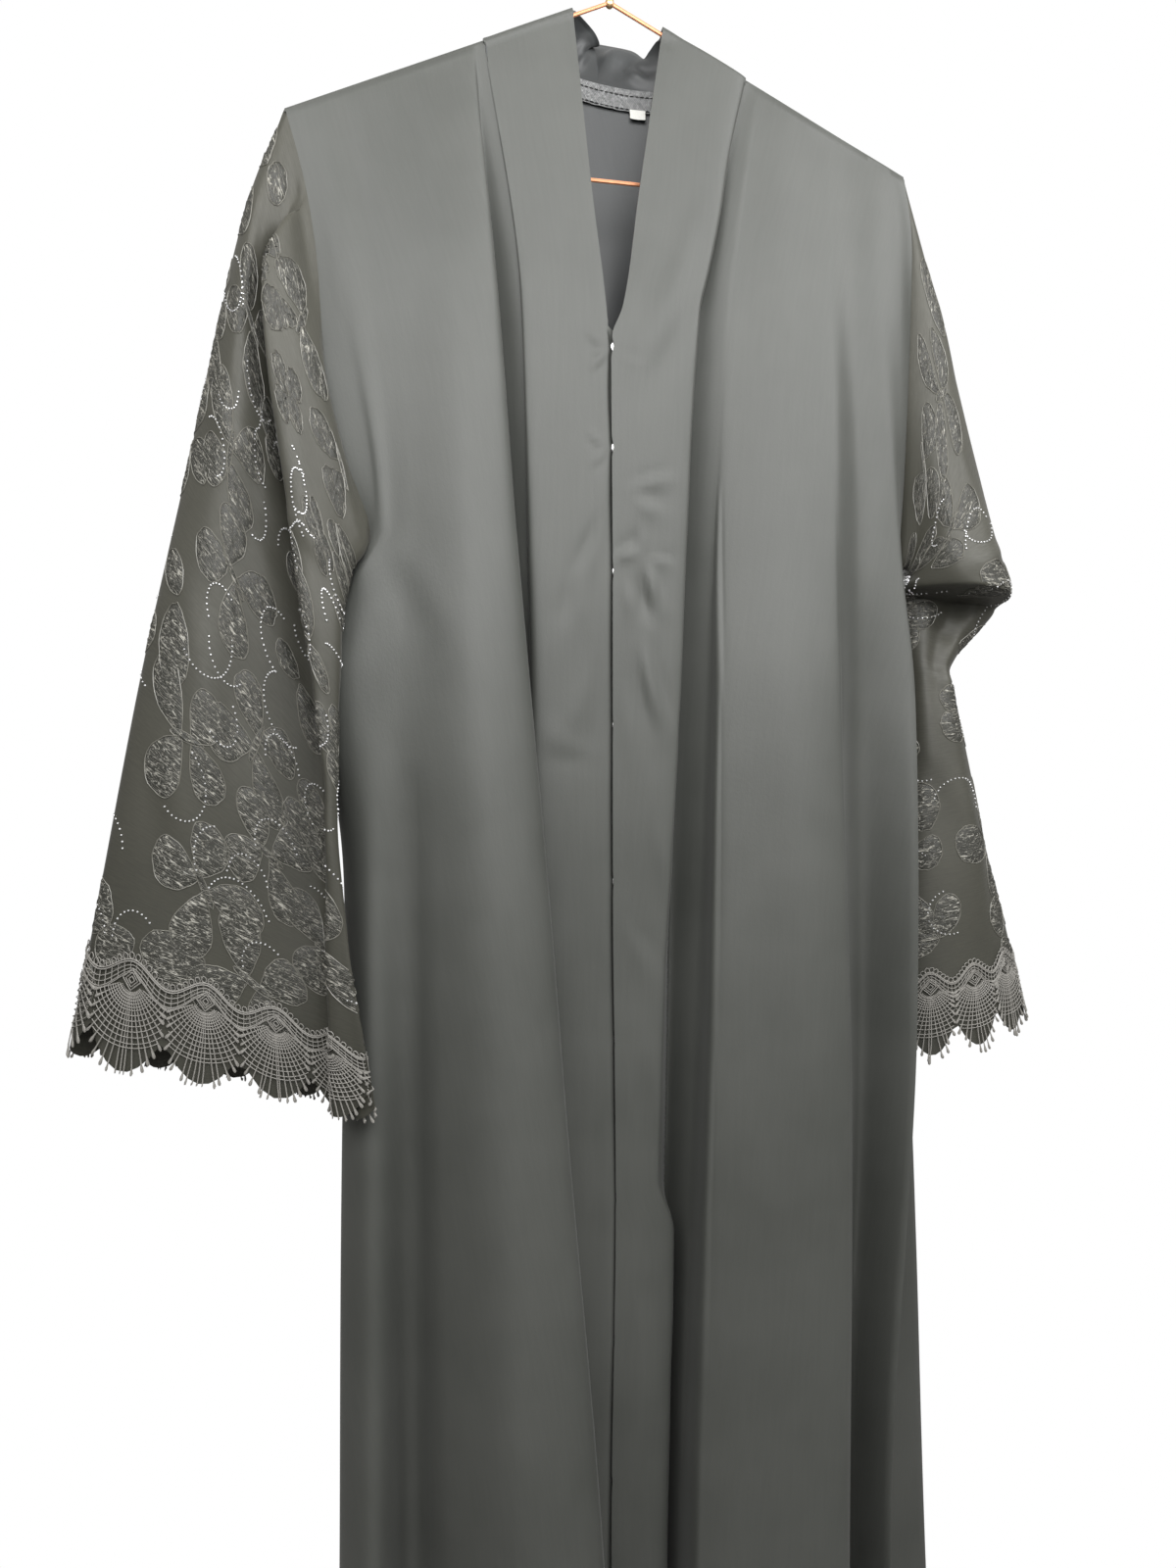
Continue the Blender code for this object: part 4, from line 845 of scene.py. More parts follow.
def surface_normals(grid, facing, closed=False):
    """Unit normals of a grid; facing is 1 or -1, for the side that is outside."""
    return unit(np.cross(tangents(grid, 0), tangents(grid, 1, closed))) * facing


def lengths(grid, closed):
    """Distances across and down a grid, in metres: its flat coordinates."""
    ahead = np.roll(grid, -1, axis=1) if closed else grid[:, 1:]
    here = grid if closed else grid[:, :-1]
    across = np.cumsum(length_of(ahead - here)[..., 0], axis=1)
    across = np.concatenate((np.zeros((len(grid), 1)), across), axis=1)
    down = np.cumsum(length_of(np.diff(grid, axis=0))[..., 0].mean(axis=1))
    return across, np.concatenate(([0.0], down))


def crease_height(grid, rows):
    """Height of creases over a grid: each is a line in x and z, with a soft section."""
    x, z = grid[..., 0], grid[..., 2]
    height = np.zeros(x.shape)
    for x1, z1, x2, z2, width, depth, bow in rows:
        along = np.array((x2 - x1, z2 - z1))
        reach = np.linalg.norm(along)
        along /= reach
        t = ((x - x1) * along[0] + (z - z1) * along[1]) / reach
        inside = np.clip(t, 0.0, 1.0)
        off = -(x - x1) * along[1] + (z - z1) * along[0]
        off = (off - bow * 4 * inside * (1 - inside)) / (width * (0.7 + 0.6 * inside))
        beyond = np.exp(-((t - inside) * reach / width) ** 2)
        fade = np.sin(np.pi * (0.12 + 0.76 * inside)) ** 1.5 * beyond
        height += depth * fade * (np.exp(-off ** 2) - 0.55 * np.exp(-(off - 1.7) ** 2))
    return height


def wave_height(grid, seed, height):
    """Slow waves, longer down the cloth than across it."""
    rng = np.random.default_rng(seed)
    x, z = grid[..., 0] + 0.4 * grid[..., 1], grid[..., 2]
    total = np.zeros(x.shape)
    for _ in range(14):
        across = rng.uniform(20, 95)
        down = rng.uniform(-14, 14)
        total += np.sin(across * x + down * z + rng.uniform(0, 6.3)) * 20 / (across + 14)
    return height * total / 1.6


def edge_fade(grid, closed, reach):
    """From 0 on a piece's edges to 1 away from them."""
    across, down = lengths(grid, closed)
    fade = np.clip(down / reach, 0, 1)[:, None] * np.ones(grid.shape[:2])
    if not closed:
        near = np.minimum(across, across[:, -1:] - across)
        fade = fade * np.clip(near / reach, 0, 1)
    return fade * fade * (3 - 2 * fade)


def creased(name, grid, normals, closed=False):
    """A grid with its creases and slow waves pushed along its normals."""
    seed, height = WAVES[name]
    front = np.clip(0.5 - 3 * normals[..., 1], 0, 1)
    if name.startswith("band"):
        front = np.where(grid[..., 1] > 0.012, -1.0, front)
    rows = CREASES[name]
    push = crease_height(grid, rows) * (1 if name == "back" else front)
    if closed:
        moved = grid + np.array((0.008, 0.0, 0.045))
        push = push + crease_height(moved, rows) * (1 - front)
    push = push + wave_height(grid, seed, height)
    reach = BAND_CREASE_EDGE if name.startswith("band") else CREASE_EDGE
    return grid + normals * (push * edge_fade(grid, closed, reach))[..., None]


def shell(name, grid, normals, thickness, material, closed=False, shaded_inner_look=None):
    """A thin closed skin round a grid of middle points, with flat coordinates in metres."""
    rows, columns = grid.shape[:2]
    count = rows * columns
    outer = grid + normals * thickness / 2
    inner = grid - normals * thickness / 2
    points = np.concatenate((outer.reshape(-1, 3), inner.reshape(-1, 3)))
    wraps = columns if closed else columns - 1
    r, c = (index.ravel() for index in np.indices((rows - 1, wraps)))
    d = (c + 1) % columns
    a, b = r * columns + c, r * columns + d
    e, f = a + columns, b + columns
    across, down = lengths(grid, closed)
    flat = [np.stack((across[i, j], down[i]), axis=1)
            for i, j in ((r, c), (r + 1, c), (r + 1, c + 1), (r, c + 1))]
    faces = [np.stack((a, e, f, b), axis=1), np.stack((b, f, e, a), axis=1) + count]
    corners = [np.stack(flat, axis=1), np.stack(flat[::-1], axis=1)]
    rims = [(c[r == 0], d[r == 0]),
            ((rows - 1) * columns + d[r == 0], (rows - 1) * columns + c[r == 0])]
    if not closed:
        line = np.arange(rows - 1) * columns
        rims += [(line + columns, line), (line + columns - 1, line + 2 * columns - 1)]
    for i, j in rims:
        faces.append(np.stack((i, j, j + count, i + count), axis=1))
        corners.append(np.repeat(across[0, 0] + points[i][:, None, :2] * 0, 4, axis=1))
    thing = add_mesh(name, points, np.concatenate(faces), material, np.concatenate(corners))
    # The inner faces take the darker copy of the cloth, as painted shade.
    if shaded_inner_look:
        thing.data.materials.append(shaded_inner_look)
        for face in thing.data.polygons[len(faces[0]):2 * len(faces[0])]:
            face.material_index = 1
    return thing


def add_mesh(name, points, faces, material, corners, sharp=50.0):
    """A smooth-shaded mesh object, its faces turned outwards."""
    mesh = bpy.data.meshes.new(name)
    mesh.from_pydata(np.asarray(points).tolist(), [], [list(map(int, f)) for f in faces])
    layer = mesh.uv_layers.new(name="flat")
    layer.uv.foreach_set("vector", np.asarray(corners, np.float32).ravel())
    mesh.shade_smooth()
    mesh.set_sharp_from_angle(angle=math.radians(sharp))
    mesh.materials.append(material)
    thing = bpy.data.objects.new(name, mesh)
    bpy.context.scene.collection.objects.link(thing)
    return thing


class Joined:
    """Many small shapes gathered into one mesh."""

    def __init__(self):
        self.points, self.faces, self.corners, self.count = [], [], [], 0

    def add(self, points, faces, flat=None):
        """Add a shape; flat gives a pair of coordinates for each point."""
        points = np.asarray(points, float)
        flat = points[:, [0, 2]] if flat is None else np.asarray(flat, float)
        self.points.append(points)
        for face in faces:
            self.faces.append([i + self.count for i in face])
            self.corners += [flat[i] for i in face]
        self.count += len(points)

    def build(self, name, material, sharp=50.0):
        """The joined mesh as an object."""
        return add_mesh(name, np.concatenate(self.points), self.faces, material,
                        self.corners, sharp)


def add_tube(joined, path, normals, radii, sides, closed=False):
    """A thread along a path; normals say which way is up, radii how thick it is."""
    path = np.asarray(path, float)
    count = len(path)
    along = tangents(path, 0, closed)
    aside = unit(np.cross(along, normals))
    up = np.cross(aside, along)
    radii = np.broadcast_to(np.asarray(radii, float), (count,))
    turns = np.arange(sides) * 2 * math.pi / sides
    ring = (np.cos(turns)[None, :, None] * aside[:, None]
            + np.sin(turns)[None, :, None] * up[:, None]) * radii[:, None, None]
    points = (path[:, None] + ring).reshape(-1, 3)
    faces = []
    for i in range(count if closed else count - 1):
        j = (i + 1) % count
        for k in range(sides):
            m = (k + 1) % sides
            faces.append((i * sides + k, i * sides + m, j * sides + m, j * sides + k))
    if not closed:
        faces.append(tuple(range(sides))[::-1])
        faces.append(tuple((count - 1) * sides + k for k in range(sides)))
    run = np.concatenate(([0.0], np.cumsum(length_of(np.diff(path, axis=0))[:, 0])))
    flat = np.stack((np.tile(turns * 0.0002, count), np.repeat(run, sides)), axis=1)
    joined.add(points, faces, flat)


# --------------------------------------------------------------------- materials
def material(name):
    """A new material, its node tree and its main shader."""
    made = bpy.data.materials.new(name)
    made.use_nodes = True
    return made, made.node_tree, made.node_tree.nodes["Principled BSDF"]


class Nodes:
    """Short ways to add and join the nodes of one material."""

    def __init__(self, tree):
        self.tree = tree
        self.flat = self.add("ShaderNodeUVMap")
        self.flat.uv_map = "flat"
        self.solid = self.add("ShaderNodeTexCoord").outputs["Object"]

    def add(self, kind, **settings):
        """A node of a kind, with its settings."""
        node = self.tree.nodes.new(kind)
        for name, value in settings.items():
            setattr(node, name, value)
        return node

    def put(self, socket, value):
        """Join an output to a socket, or give the socket a plain value."""
        if hasattr(value, "links"):
            self.tree.links.new(value, socket)
        else:
            socket.default_value = value

    def scaled(self, source, scale, turn=0.0):
        """Coordinates turned in their plane, then scaled by three factors."""
        node = self.add("ShaderNodeMapping")
        self.put(node.inputs["Vector"], source)
        node.inputs["Rotation"].default_value = (0.0, 0.0, turn)
        node.inputs["Scale"].default_value = scale
        return node.outputs[0]

    def noise(self, source, scale, detail, roughness=0.5, distortion=0.0):
        """A soft noise from 0 to 1."""
        node = self.add("ShaderNodeTexNoise")
        self.put(node.inputs["Vector"], source)
        for name, value in (("Scale", scale), ("Detail", detail),
                            ("Roughness", roughness), ("Distortion", distortion)):
            node.inputs[name].default_value = value
        return node.outputs["Fac"]

    def wave(self, source, scale, distortion):
        """Bands across the first direction, from 0 to 1."""
        node = self.add("ShaderNodeTexWave", bands_direction="X")
        self.put(node.inputs["Vector"], source)
        for name, value in (("Scale", scale), ("Distortion", distortion),
                            ("Detail", 2.0), ("Detail Scale", 1.5)):
            node.inputs[name].default_value = value
        return node.outputs["Fac"]

    def math(self, operation, a, b=0.0):
        """One sum or comparison."""
        node = self.add("ShaderNodeMath", operation=operation)
        self.put(node.inputs[0], a)
        self.put(node.inputs[1], b)
        return node.outputs[0]

    def spread(self, value, low, high, to_low=0.0, to_high=1.0):
        """A value's range drawn out to another one, and held there."""
        node = self.add("ShaderNodeMapRange")
        for name, given in (("Value", value), ("From Min", low), ("From Max", high),
                            ("To Min", to_low), ("To Max", to_high)):
            self.put(node.inputs[name], given)
        return node.outputs[0]

    def colours(self, value, low, high):
        """A colour between two, by a value from 0 to 1."""
        node = self.add("ShaderNodeMix", data_type="RGBA")
        self.put(node.inputs["Factor"], value)
        node.inputs["A"].default_value = (*low, 1.0)
        node.inputs["B"].default_value = (*high, 1.0)
        return node.outputs["Result"]

    def bump(self, height, distance, strength, under=None):
        """A normal from a height given in units of distance, over another normal."""
        node = self.add("ShaderNodeBump")
        self.put(node.inputs["Height"], height)
        node.inputs["Distance"].default_value = distance
        node.inputs["Strength"].default_value = strength
        if under is not None:
            self.put(node.inputs["Normal"], under)
        return node.outputs[0]


def satin_material(name, dark, light, roughness):
    """Matt satin crepe: pebbled grain, faint vertical slubs and tonal clouding."""
    made, tree, shader = material(name)
    n = Nodes(tree)
    flat = n.flat.outputs[0]
    grain = n.noise(flat, 1400.0, 3.0, 0.6)
    crepe = n.noise(n.scaled(flat, (1.0, 0.55, 1.0)), 620.0, 2.0, 0.55, 0.4)
    slub = n.noise(n.scaled(flat, (1.0, 0.06, 1.0)), 420.0, 2.0)
    cloud = n.noise(n.solid, 9.0, 3.0, 0.6)
    tone = n.math("ADD", n.math("MULTIPLY", cloud, 0.80), n.math("MULTIPLY", slub, 0.20))
    n.put(shader.inputs["Base Color"], n.colours(n.spread(tone, 0.35, 0.65), dark, light))
    rough = n.spread(n.math("ADD", n.math("MULTIPLY", grain, 0.6), n.math("MULTIPLY", cloud, 0.4)),
                     0.35, 0.65, roughness - 0.05, roughness + 0.05)
    n.put(shader.inputs["Roughness"], rough)
    shader.inputs["Specular IOR Level"].default_value = 0.40
    shader.inputs["Sheen Weight"].default_value = 0.10
    shader.inputs["Sheen Roughness"].default_value = 0.35
    under = n.bump(crepe, 0.00010, 0.7)
    n.put(shader.inputs["Normal"], n.bump(grain, 0.00005, 0.6, under))
    return made


def plain_material(name, colour, roughness, metallic=0.0, grain=900.0, depth=0.00003):
    """A simple surface with a fine uneven grain in its tone, gloss and height."""
    made, tree, shader = material(name)
    n = Nodes(tree)
    speck = n.noise(n.solid, grain, 3.0, 0.6)
    dark = tuple(0.86 * c for c in colour)
    light = tuple(min(1.0, 1.08 * c) for c in colour)
    n.put(shader.inputs["Base Color"], n.colours(n.spread(speck, 0.3, 0.7), dark, light))
    n.put(shader.inputs["Roughness"],
          n.spread(speck, 0.3, 0.7, roughness - 0.04, roughness + 0.04))
    shader.inputs["Metallic"].default_value = metallic
    n.put(shader.inputs["Normal"], n.bump(speck, depth, 0.6))
    return made


def jacquard_material():
    """Olive black ground of the sleeves: fine slanting hairs, tonal clouding and painted light that
    makes it lighter towards the top.
    """
    made, tree, shader = material("olive black jacquard")
    n = Nodes(tree)
    flat = n.flat.outputs[0]
    hairs = n.noise(n.scaled(flat, (0.10, 1.0, 1.0), math.radians(-24)), 1500.0, 2.0, 0.5, 0.3)
    strands = n.noise(n.scaled(flat, (0.06, 1.0, 1.0), math.radians(-33)), 900.0, 1.0, 0.5)
    grain = n.noise(flat, 1700.0, 2.0, 0.6)
    cloud = n.noise(n.solid, 11.0, 2.0, 0.5)
    lines = n.math("ADD", n.math("MULTIPLY", hairs, 0.6), n.math("MULTIPLY", strands, 0.4))
    height = n.add("ShaderNodeSeparateXYZ")
    n.put(height.inputs[0], n.solid)
    # Random tonal clouding, plus painted light: the tone grows lighter with height up the sleeves.
    clouding_and_painted_light = n.math("ADD", n.spread(cloud, 0.3, 0.7, -0.16, 0.16),
                  n.spread(height.outputs["Z"], -0.76, -0.36, -0.16, 0.22))
    tone = n.math("ADD", n.spread(lines, 0.38, 0.66, 0.36, 0.64), clouding_and_painted_light)
    n.put(shader.inputs["Base Color"], n.colours(tone, (.0285, .0285, .0220), (.064, .062, .049)))
    n.put(shader.inputs["Roughness"], n.spread(lines, 0.35, 0.65, 0.60, 0.46))
    shader.inputs["Specular IOR Level"].default_value = 0.38
    shader.inputs["Sheen Weight"].default_value = 0.10
    shader.inputs["Sheen Roughness"].default_value = 0.4
    under = n.bump(lines, 0.00008, 0.6)
    n.put(shader.inputs["Normal"], n.bump(grain, 0.00004, 0.6, under))
    return made


def motif_material():
    """Glossy floats of the motifs, drawn up into fine wrinkles, their ridges coloured light as
    painted highlights.
    """
    made, tree, shader = material("glossy motif weave")
    n = Nodes(tree)
    flat = n.flat.outputs[0]
    wrinkles = []
    for scale, squash, turn in ((400.0, 0.20, 6.0), (760.0, 0.24, -9.0)):
        field = n.noise(n.scaled(flat, (squash, 1.0, 1.0), math.radians(turn)), scale, 1.0,
                        0.5, 0.3)
        off = n.math("ABSOLUTE", n.math("SUBTRACT", field, 0.5))
        wrinkles.append(n.spread(off, 0.032, 0.0))
    ridge = n.math("MAXIMUM", wrinkles[0], n.math("MULTIPLY", wrinkles[1], 0.75))
    grain = n.noise(flat, 2200.0, 2.0)
    # Painted highlight: the wrinkles' ridges get a light colour for their sheen, while the ground
    # between stays dark.
    n.put(shader.inputs["Base Color"],
          n.colours(n.math("MULTIPLY", ridge, n.spread(grain, 0.3, 0.7, 0.7, 1.0)),
                    (.026, .026, .021), (.390, .378, .332)))
    n.put(shader.inputs["Roughness"], n.spread(ridge, 0.0, 1.0, 0.52, 0.30))
    shader.inputs["Specular IOR Level"].default_value = 0.5
    n.put(shader.inputs["Normal"], n.bump(ridge, 0.00045, 1.0))
    return made


def tape_material():
    """Grey woven tape: slanting ribs of light and dark yarn, mottled."""
    made, tree, shader = material("neck tape weave")
    n = Nodes(tree)
    flat = n.flat.outputs[0]
    ribs = n.wave(n.scaled(flat, (1.0, 1.0, 1.0), math.radians(38)), 260.0, 1.2)
    yarn = n.noise(n.scaled(flat, (1.0, 0.45, 1.0)), 1500.0, 3.0, 0.65)
    patch = n.noise(flat, 260.0, 3.0, 0.7)
    tone = n.math("MULTIPLY", n.spread(yarn, 0.38, 0.62),
                  n.math("ADD", n.math("MULTIPLY", ribs, 0.5), n.spread(patch, .35, .65, 0.0, 0.5)))
    n.put(shader.inputs["Base Color"], n.colours(tone, (.080, .082, .082), (.420, .425, .425)))
    n.put(shader.inputs["Roughness"], n.spread(yarn, 0.3, 0.7, 0.72, 0.55))
    shader.inputs["Specular IOR Level"].default_value = 0.35
    n.put(shader.inputs["Normal"], n.bump(n.math("ADD", yarn, ribs), 0.00012, 0.8))
    return made


BLACK_SATIN = satin_material("black satin crepe", (.0555, .0580, .0525), (.0690, .0715, .0655), .50)
# Painted shade: a darker, bluer copy of the satin for the cloth's inner faces, which lie in the
# garment's shade.
SATIN_INNER_PAINTED_SHADE = satin_material("satin inner painted shade", (.0360, .0385, .0395), (.0470, .0500, .0510), .42)
JACQUARD = jacquard_material()
MOTIF_WEAVE = motif_material()
MOTIF_CORD = plain_material("motif cord", (.150, .146, .127), .38, 0.0, 1800.0, .00006)
STONE = plain_material("clear foiled stone", (.72, .72, .73), .22, 0.25, 700.0, .00001)
LACE_THREAD = plain_material("lace thread", (.215, .207, .190), .62, 0.0, 1500.0, .00006)
COPPER = plain_material("copper wire", (.78, .34, .18), .45, 0.5, 500.0, .00001)
BRASS = plain_material("brass ferrule", (.74, .50, .27), .34, 0.8, 500.0, .00001)
THREAD = plain_material("black sewing thread", (.016, .016, .016), .60, 0.0, 2600.0, .00004)
SEAM_THREAD = plain_material("grey sewing thread", (.100, .100, .096), .55, 0.0, 2600.0, .00004)
TAPE_WEAVE = tape_material()
WHITE_LABEL = plain_material("white label", (.66, .66, .62), .60, 0.0, 1600.0, .00004)
SNAP_METAL = plain_material("snap metal", (.62, .62, .62), .25, 1.0, 900.0, .00001)


# ------------------------------------------------------------------------ pieces
def against_sleeve(grid, column):
    """Spread the left side outwards below the armhole, where the sleeve hangs against it."""
    z = grid[..., 2]
    near = np.exp(-((z - BULGE_Z) / BULGE_HEIGHT) ** 2)
    near *= np.clip((UNDERARM_Z - z) / BULGE_START, 0, 1)
    side_x = grid[:, column, 0][:, None]
    inner = np.clip(1 - (grid[..., 0] - side_x) / BULGE_REACH, 0, 1)
    grid[..., 0] -= BULGE * near * inner ** 2 * (3 - 2 * inner)


def body_grids():
    """Grids and outward normals of both fronts and the back, joined at the side seams."""
    back_folds = (FRONT_LEFT[-1],) + BACK + (FRONT_RIGHT[-1],)
    grids = {
        "front_left": panel(FRONT_LEFT, ["left"] * len(FRONT_LEFT), -1),
        "front_right": panel(FRONT_RIGHT, ["right"] * len(FRONT_RIGHT), -1),
        "back": panel(back_folds, ["left"] * (len(back_folds) - 1) + ["right"], 1),
    }
    against_sleeve(grids["front_left"], -1)
    against_sleeve(grids["back"], 0)
    facing = {"front_left": -1, "front_right": 1, "back": -1}
    normals = {name: surface_normals(grid, facing[name]) for name, grid in grids.items()}
    for name, column in (("front_left", 0), ("front_right", -1)):
        below = grids[name][:, -1, 2] <= UNDERARM_Z
        seam = unit(normals[name][below, -1] + normals["back"][below, column])
        normals[name][below, -1] = seam
        normals["back"][below, column] = seam
    return grids, normals


def build_body(grids, normals):
    """The thin cloth of both fronts and the back."""
    for name, grid in grids.items():
        shaped = creased(name, grid, normals[name])
        piece = shell(name + "_cloth", shaped, surface_like(shaped, normals[name]),
                      SHELL, BLACK_SATIN,
                      shaded_inner_look=SATIN_INNER_PAINTED_SHADE if name == "back" else None)
        declare(piece, "black_satin", name)


def surface_like(grid, facing, closed=False):
    """Normals of a shaped grid, turned to the side that other normals are on."""
    found = surface_normals(grid, 1, closed)
    return found * np.sign((found * facing).sum(axis=-1, keepdims=True) + 1e-12)


def declare(piece, slot, *nodes):
    """Join a piece to the frame's root body and hide the nodes it stands for. The slot is not used.
    """
    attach(piece, "root")
    if nodes:
        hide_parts(*nodes)


def build_bands(grids, normals):
    """The two bands that edge the fronts and meet behind the neck as the collar."""
    neck = grids["back"][0]
    neck_normals = normals["back"][0]
    for side, sign in (("left", -1), ("right", 1)):
        front = grids["front_" + side][::-1, 0]
        inside = [c for c in range(len(neck)) if sign * neck[c, 0] >= 0 and on_neck(neck[c, 0])]
        inside.sort(key=lambda c: -abs(neck[c, 0]))
        grid = band(side, list(front), [neck[c] for c in inside])
        field = surface_normals(grid, sign)
        seam = np.concatenate((normals["front_" + side][::-1, 0], neck_normals[inside]))
        field[:, 0] = unit(refined(seam[:, None])[:, 0])
        grid[-1, :, 0] = -sign * 0.0002
        shaped = creased("band_" + side, grid, field)
        piece = shell(f"band_{side}_cloth", shaped, surface_like(shaped, field),
                      DOUBLE_SHELL, BLACK_SATIN, shaded_inner_look=SATIN_INNER_PAINTED_SHADE)
        declare(piece, "black_satin", "band_" + side)


def build_sleeve(side):
    """One sleeve's cloth, with its lace, motifs and stones."""
    facing = 1 if side == "left" else -1
    cloth = np.linspace(0.0, 1.0, SLEEVE_RINGS)
    behind_lace = np.linspace(1.0, LACE_END, 22)[1:]
    places = np.concatenate((cloth, behind_lace))
    grid = sleeve(side, places)
    normals = surface_normals(grid, facing, closed=True)
    shaped = creased("sleeve_" + side, grid, normals, closed=True)
    normals = surface_like(shaped, normals, closed=True)
    surface = Surface(shaped, normals, places)
    cuff_row = len(cloth)
    lower, lower_normals = behind_lace_rows(surface, cuff_row - 1)
    piece = shell(f"sleeve_{side}_cloth", np.concatenate((shaped[:cuff_row], lower)),
                  np.concatenate((normals[:cuff_row], lower_normals)), SHELL, JACQUARD,
                  closed=True)
    declare(piece, "jacquard", "sleeve_" + side)
    trims = [build_lace(side, surface), *build_motifs(side, surface)]


def behind_lace_rows(surface, cuff_row):
    """The cloth's last rows, cut to scallops a little above the lace's tips."""
    lace = Scallops(surface)
    share = surface.arcs[cuff_row][:-1] / surface.arcs[cuff_row][-1]
    end = lace.bottom(share * lace.count - LACE_START) - LACE_HEM
    rows = [surface.at(surface.cuff + end * k / 14, share, 0.0, 0.0) for k in range(1, 15)]
    return np.array([row[0] for row in rows]), np.array([row[1] for row in rows])


def build_hanger():
    """Better metal on the hanger's own wires, and the brass ferrule where they meet."""
    for name in ("hanger_hook", "hanger_arm_left", "hanger_arm_right", "hanger_bar"):
        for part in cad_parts[name].material_slots:
            part.material = COPPER
    ferrule = Joined()
    add_lathe(ferrule, FERRULE_PROFILE, (0.0, 0.0, APEX_Z), upright=True)
    declare(ferrule.build("hanger_ferrule", BRASS), "copper_wire")


def add_lathe(joined, profile, centre, upright=False):
    """A turned shape: radius and height of its outline, round an upright or a level axis."""
    sides = LATHE_SIDES
    turns = np.arange(sides) * 2 * math.pi / sides
    outline = np.array(profile)[:, :, None]
    radii, along = outline[:, 0], outline[:, 1] * np.ones(sides)
    one, two = radii * np.cos(turns), radii * np.sin(turns)
    order = (one, two, along) if upright else (one, along, two)
    points = np.stack(order, axis=-1).reshape(-1, 3) + np.array(centre)
    faces = []
    for i in range(len(profile) - 1):
        for k in range(sides):
            m = (k + 1) % sides
            quad = [i * sides + k, i * sides + m, (i + 1) * sides + m, (i + 1) * sides + k]
            faces.append(quad[::-1] if upright else quad)
    first, last = list(range(sides)), [(len(profile) - 1) * sides + k for k in range(sides)]
    faces.append(first if upright else first[::-1])
    faces.append(last[::-1] if upright else last)
    joined.add(points, faces)


def inside_back(grid, x, drop, lift):
    """A point in front of the back's inner side, below the neck seam."""
    rows = grid[:24]
    y_row = np.array([np.interp(x, row[:, 0], row[:, 1]) for row in rows])
    z_row = np.array([np.interp(x, row[:, 0], row[:, 2]) for row in rows])
    z = z_row[0] - drop
    return np.array((x, np.interp(-z, -z_row, y_row) - lift, z))


def build_neck_trim(back_grid):
    """The woven tape along the back neck seam, its stitches and the blank label."""
    xs = np.linspace(-TAPE_HALF_LENGTH, TAPE_HALF_LENGTH, 90)
    drops = np.linspace(0.0006, TAPE_WIDTH, 12)
    ripple = 0.00025 * np.sin(xs * 310.0) + 0.0002 * np.sin(xs * 733.0 + 1.0)
    tape = np.array([[inside_back(back_grid, x, drop, TAPE_LIFT + wave * drop / TAPE_WIDTH)
                      for x, wave in zip(xs, ripple)] for drop in drops])
    normals = surface_normals(tape, 1)
    normals *= -np.sign(normals[..., 1:2])
    piece = shell("neck_tape_cloth", tape, normals, TAPE_SHELL, TAPE_WEAVE)
    declare(piece, "neck_tape", "neck_tape")
    stitches = Joined()
    for drop in TAPE_STITCH_DROPS:
        line = np.array([inside_back(back_grid, x, drop, TAPE_STITCH_LIFT) for x in xs])
        add_stitches(stitches, line, (0.0, -1.0, 0.0), *TAPE_STITCH)
    sewn = stitches.build("neck_tape_stitches", THREAD)
    declare(sewn, "sewing_thread")
    build_label(back_grid)


def build_label(back_grid):
    """A blank woven label, its lower edge curling off the cloth."""
    xs = LABEL_X + np.linspace(-0.5, 0.5, 14) * LABEL_WIDTH
    drops = np.linspace(TAPE_WIDTH - LABEL_TUCK, TAPE_WIDTH + LABEL_DROP, 12)
    curl = ((drops - drops[0]) / (drops[-1] - drops[0])) ** 2
    label = np.array([[inside_back(back_grid, x, drop, LABEL_LIFT + 0.0006 * lift
                                   + 0.0003 * math.sin(x * 420.0) * lift)
                       for x in xs] for drop, lift in zip(drops, curl)])
    normals = surface_normals(label, 1)
    normals *= -np.sign(normals[..., 1:2])
    piece = shell("label_cloth", label, normals, LABEL_SHELL, WHITE_LABEL)
    declare(piece, "white_label", "label")


def add_stitches(joined, line, facing, length, gap, radius):
    """Short stitches along a line, each sunk into the cloth at its ends."""
    line = np.asarray(line, float)
    facing = np.broadcast_to(np.asarray(facing, float), line.shape)
    run = np.concatenate(([0.0], np.cumsum(length_of(np.diff(line, axis=0))[:, 0])))
    starts = np.arange(gap, run[-1] - length, length + gap)
    for start in starts:
        at = start + length * np.array((0.0, 0.25, 0.75, 1.0))
        path = np.stack([np.interp(at, run, line[:, k]) for k in range(3)], axis=1)
        up = np.stack([np.interp(at, run, facing[:, k]) for k in range(3)], axis=1)
        path += up * (radius * np.array((-1.0, 0.6, 0.6, -1.0)))[:, None]
        add_tube(joined, path, up, radius, sides=4)


def build_snaps():
    """The closed snaps: a socket under the right band, a stud on the left band's strip."""
    x_at = smooth(BAND_EDGE_HEIGHTS, BAND_EDGE_X["right"])
    y = (UNDERLAP_Y + BAND_FACE_Y["right"]) / 2
    for number, z in enumerate(SNAP_HEIGHTS, 1):
        snap = Joined()
        centre = (float(x_at(z)) + SNAP_RADIUS + 0.0008, y, z)
        add_lathe(snap, SNAP_PROFILE, centre)
        declare(snap.build(f"snap_{number}_metal", SNAP_METAL), "snap_metal",
                f"snap_{number}")


def build_stitches(grids, normals):
    """Stitches beside the right band's seam and along the hem."""
    seams = Joined()
    grid, field = grids["front_right"], normals["front_right"]
    line = grid[10:-2, 4] + field[10:-2, 4] * 0.0006
    add_stitches(seams, line, field[10:-2, 4], *SEAM_STITCH)
    declare(seams.build("band_seam_stitches", SEAM_THREAD), "sewing_thread")
    hem = Joined()
    for name, grid in grids.items():
        row = int(np.searchsorted(-grid[:, 0, 2], -HEM_Z - HEM_DEPTH))
        line = grid[row] + normals[name][row] * 0.0005
        add_stitches(hem, line, normals[name][row], *HEM_STITCH)
    declare(hem.build("hem_stitches", THREAD), "sewing_thread")


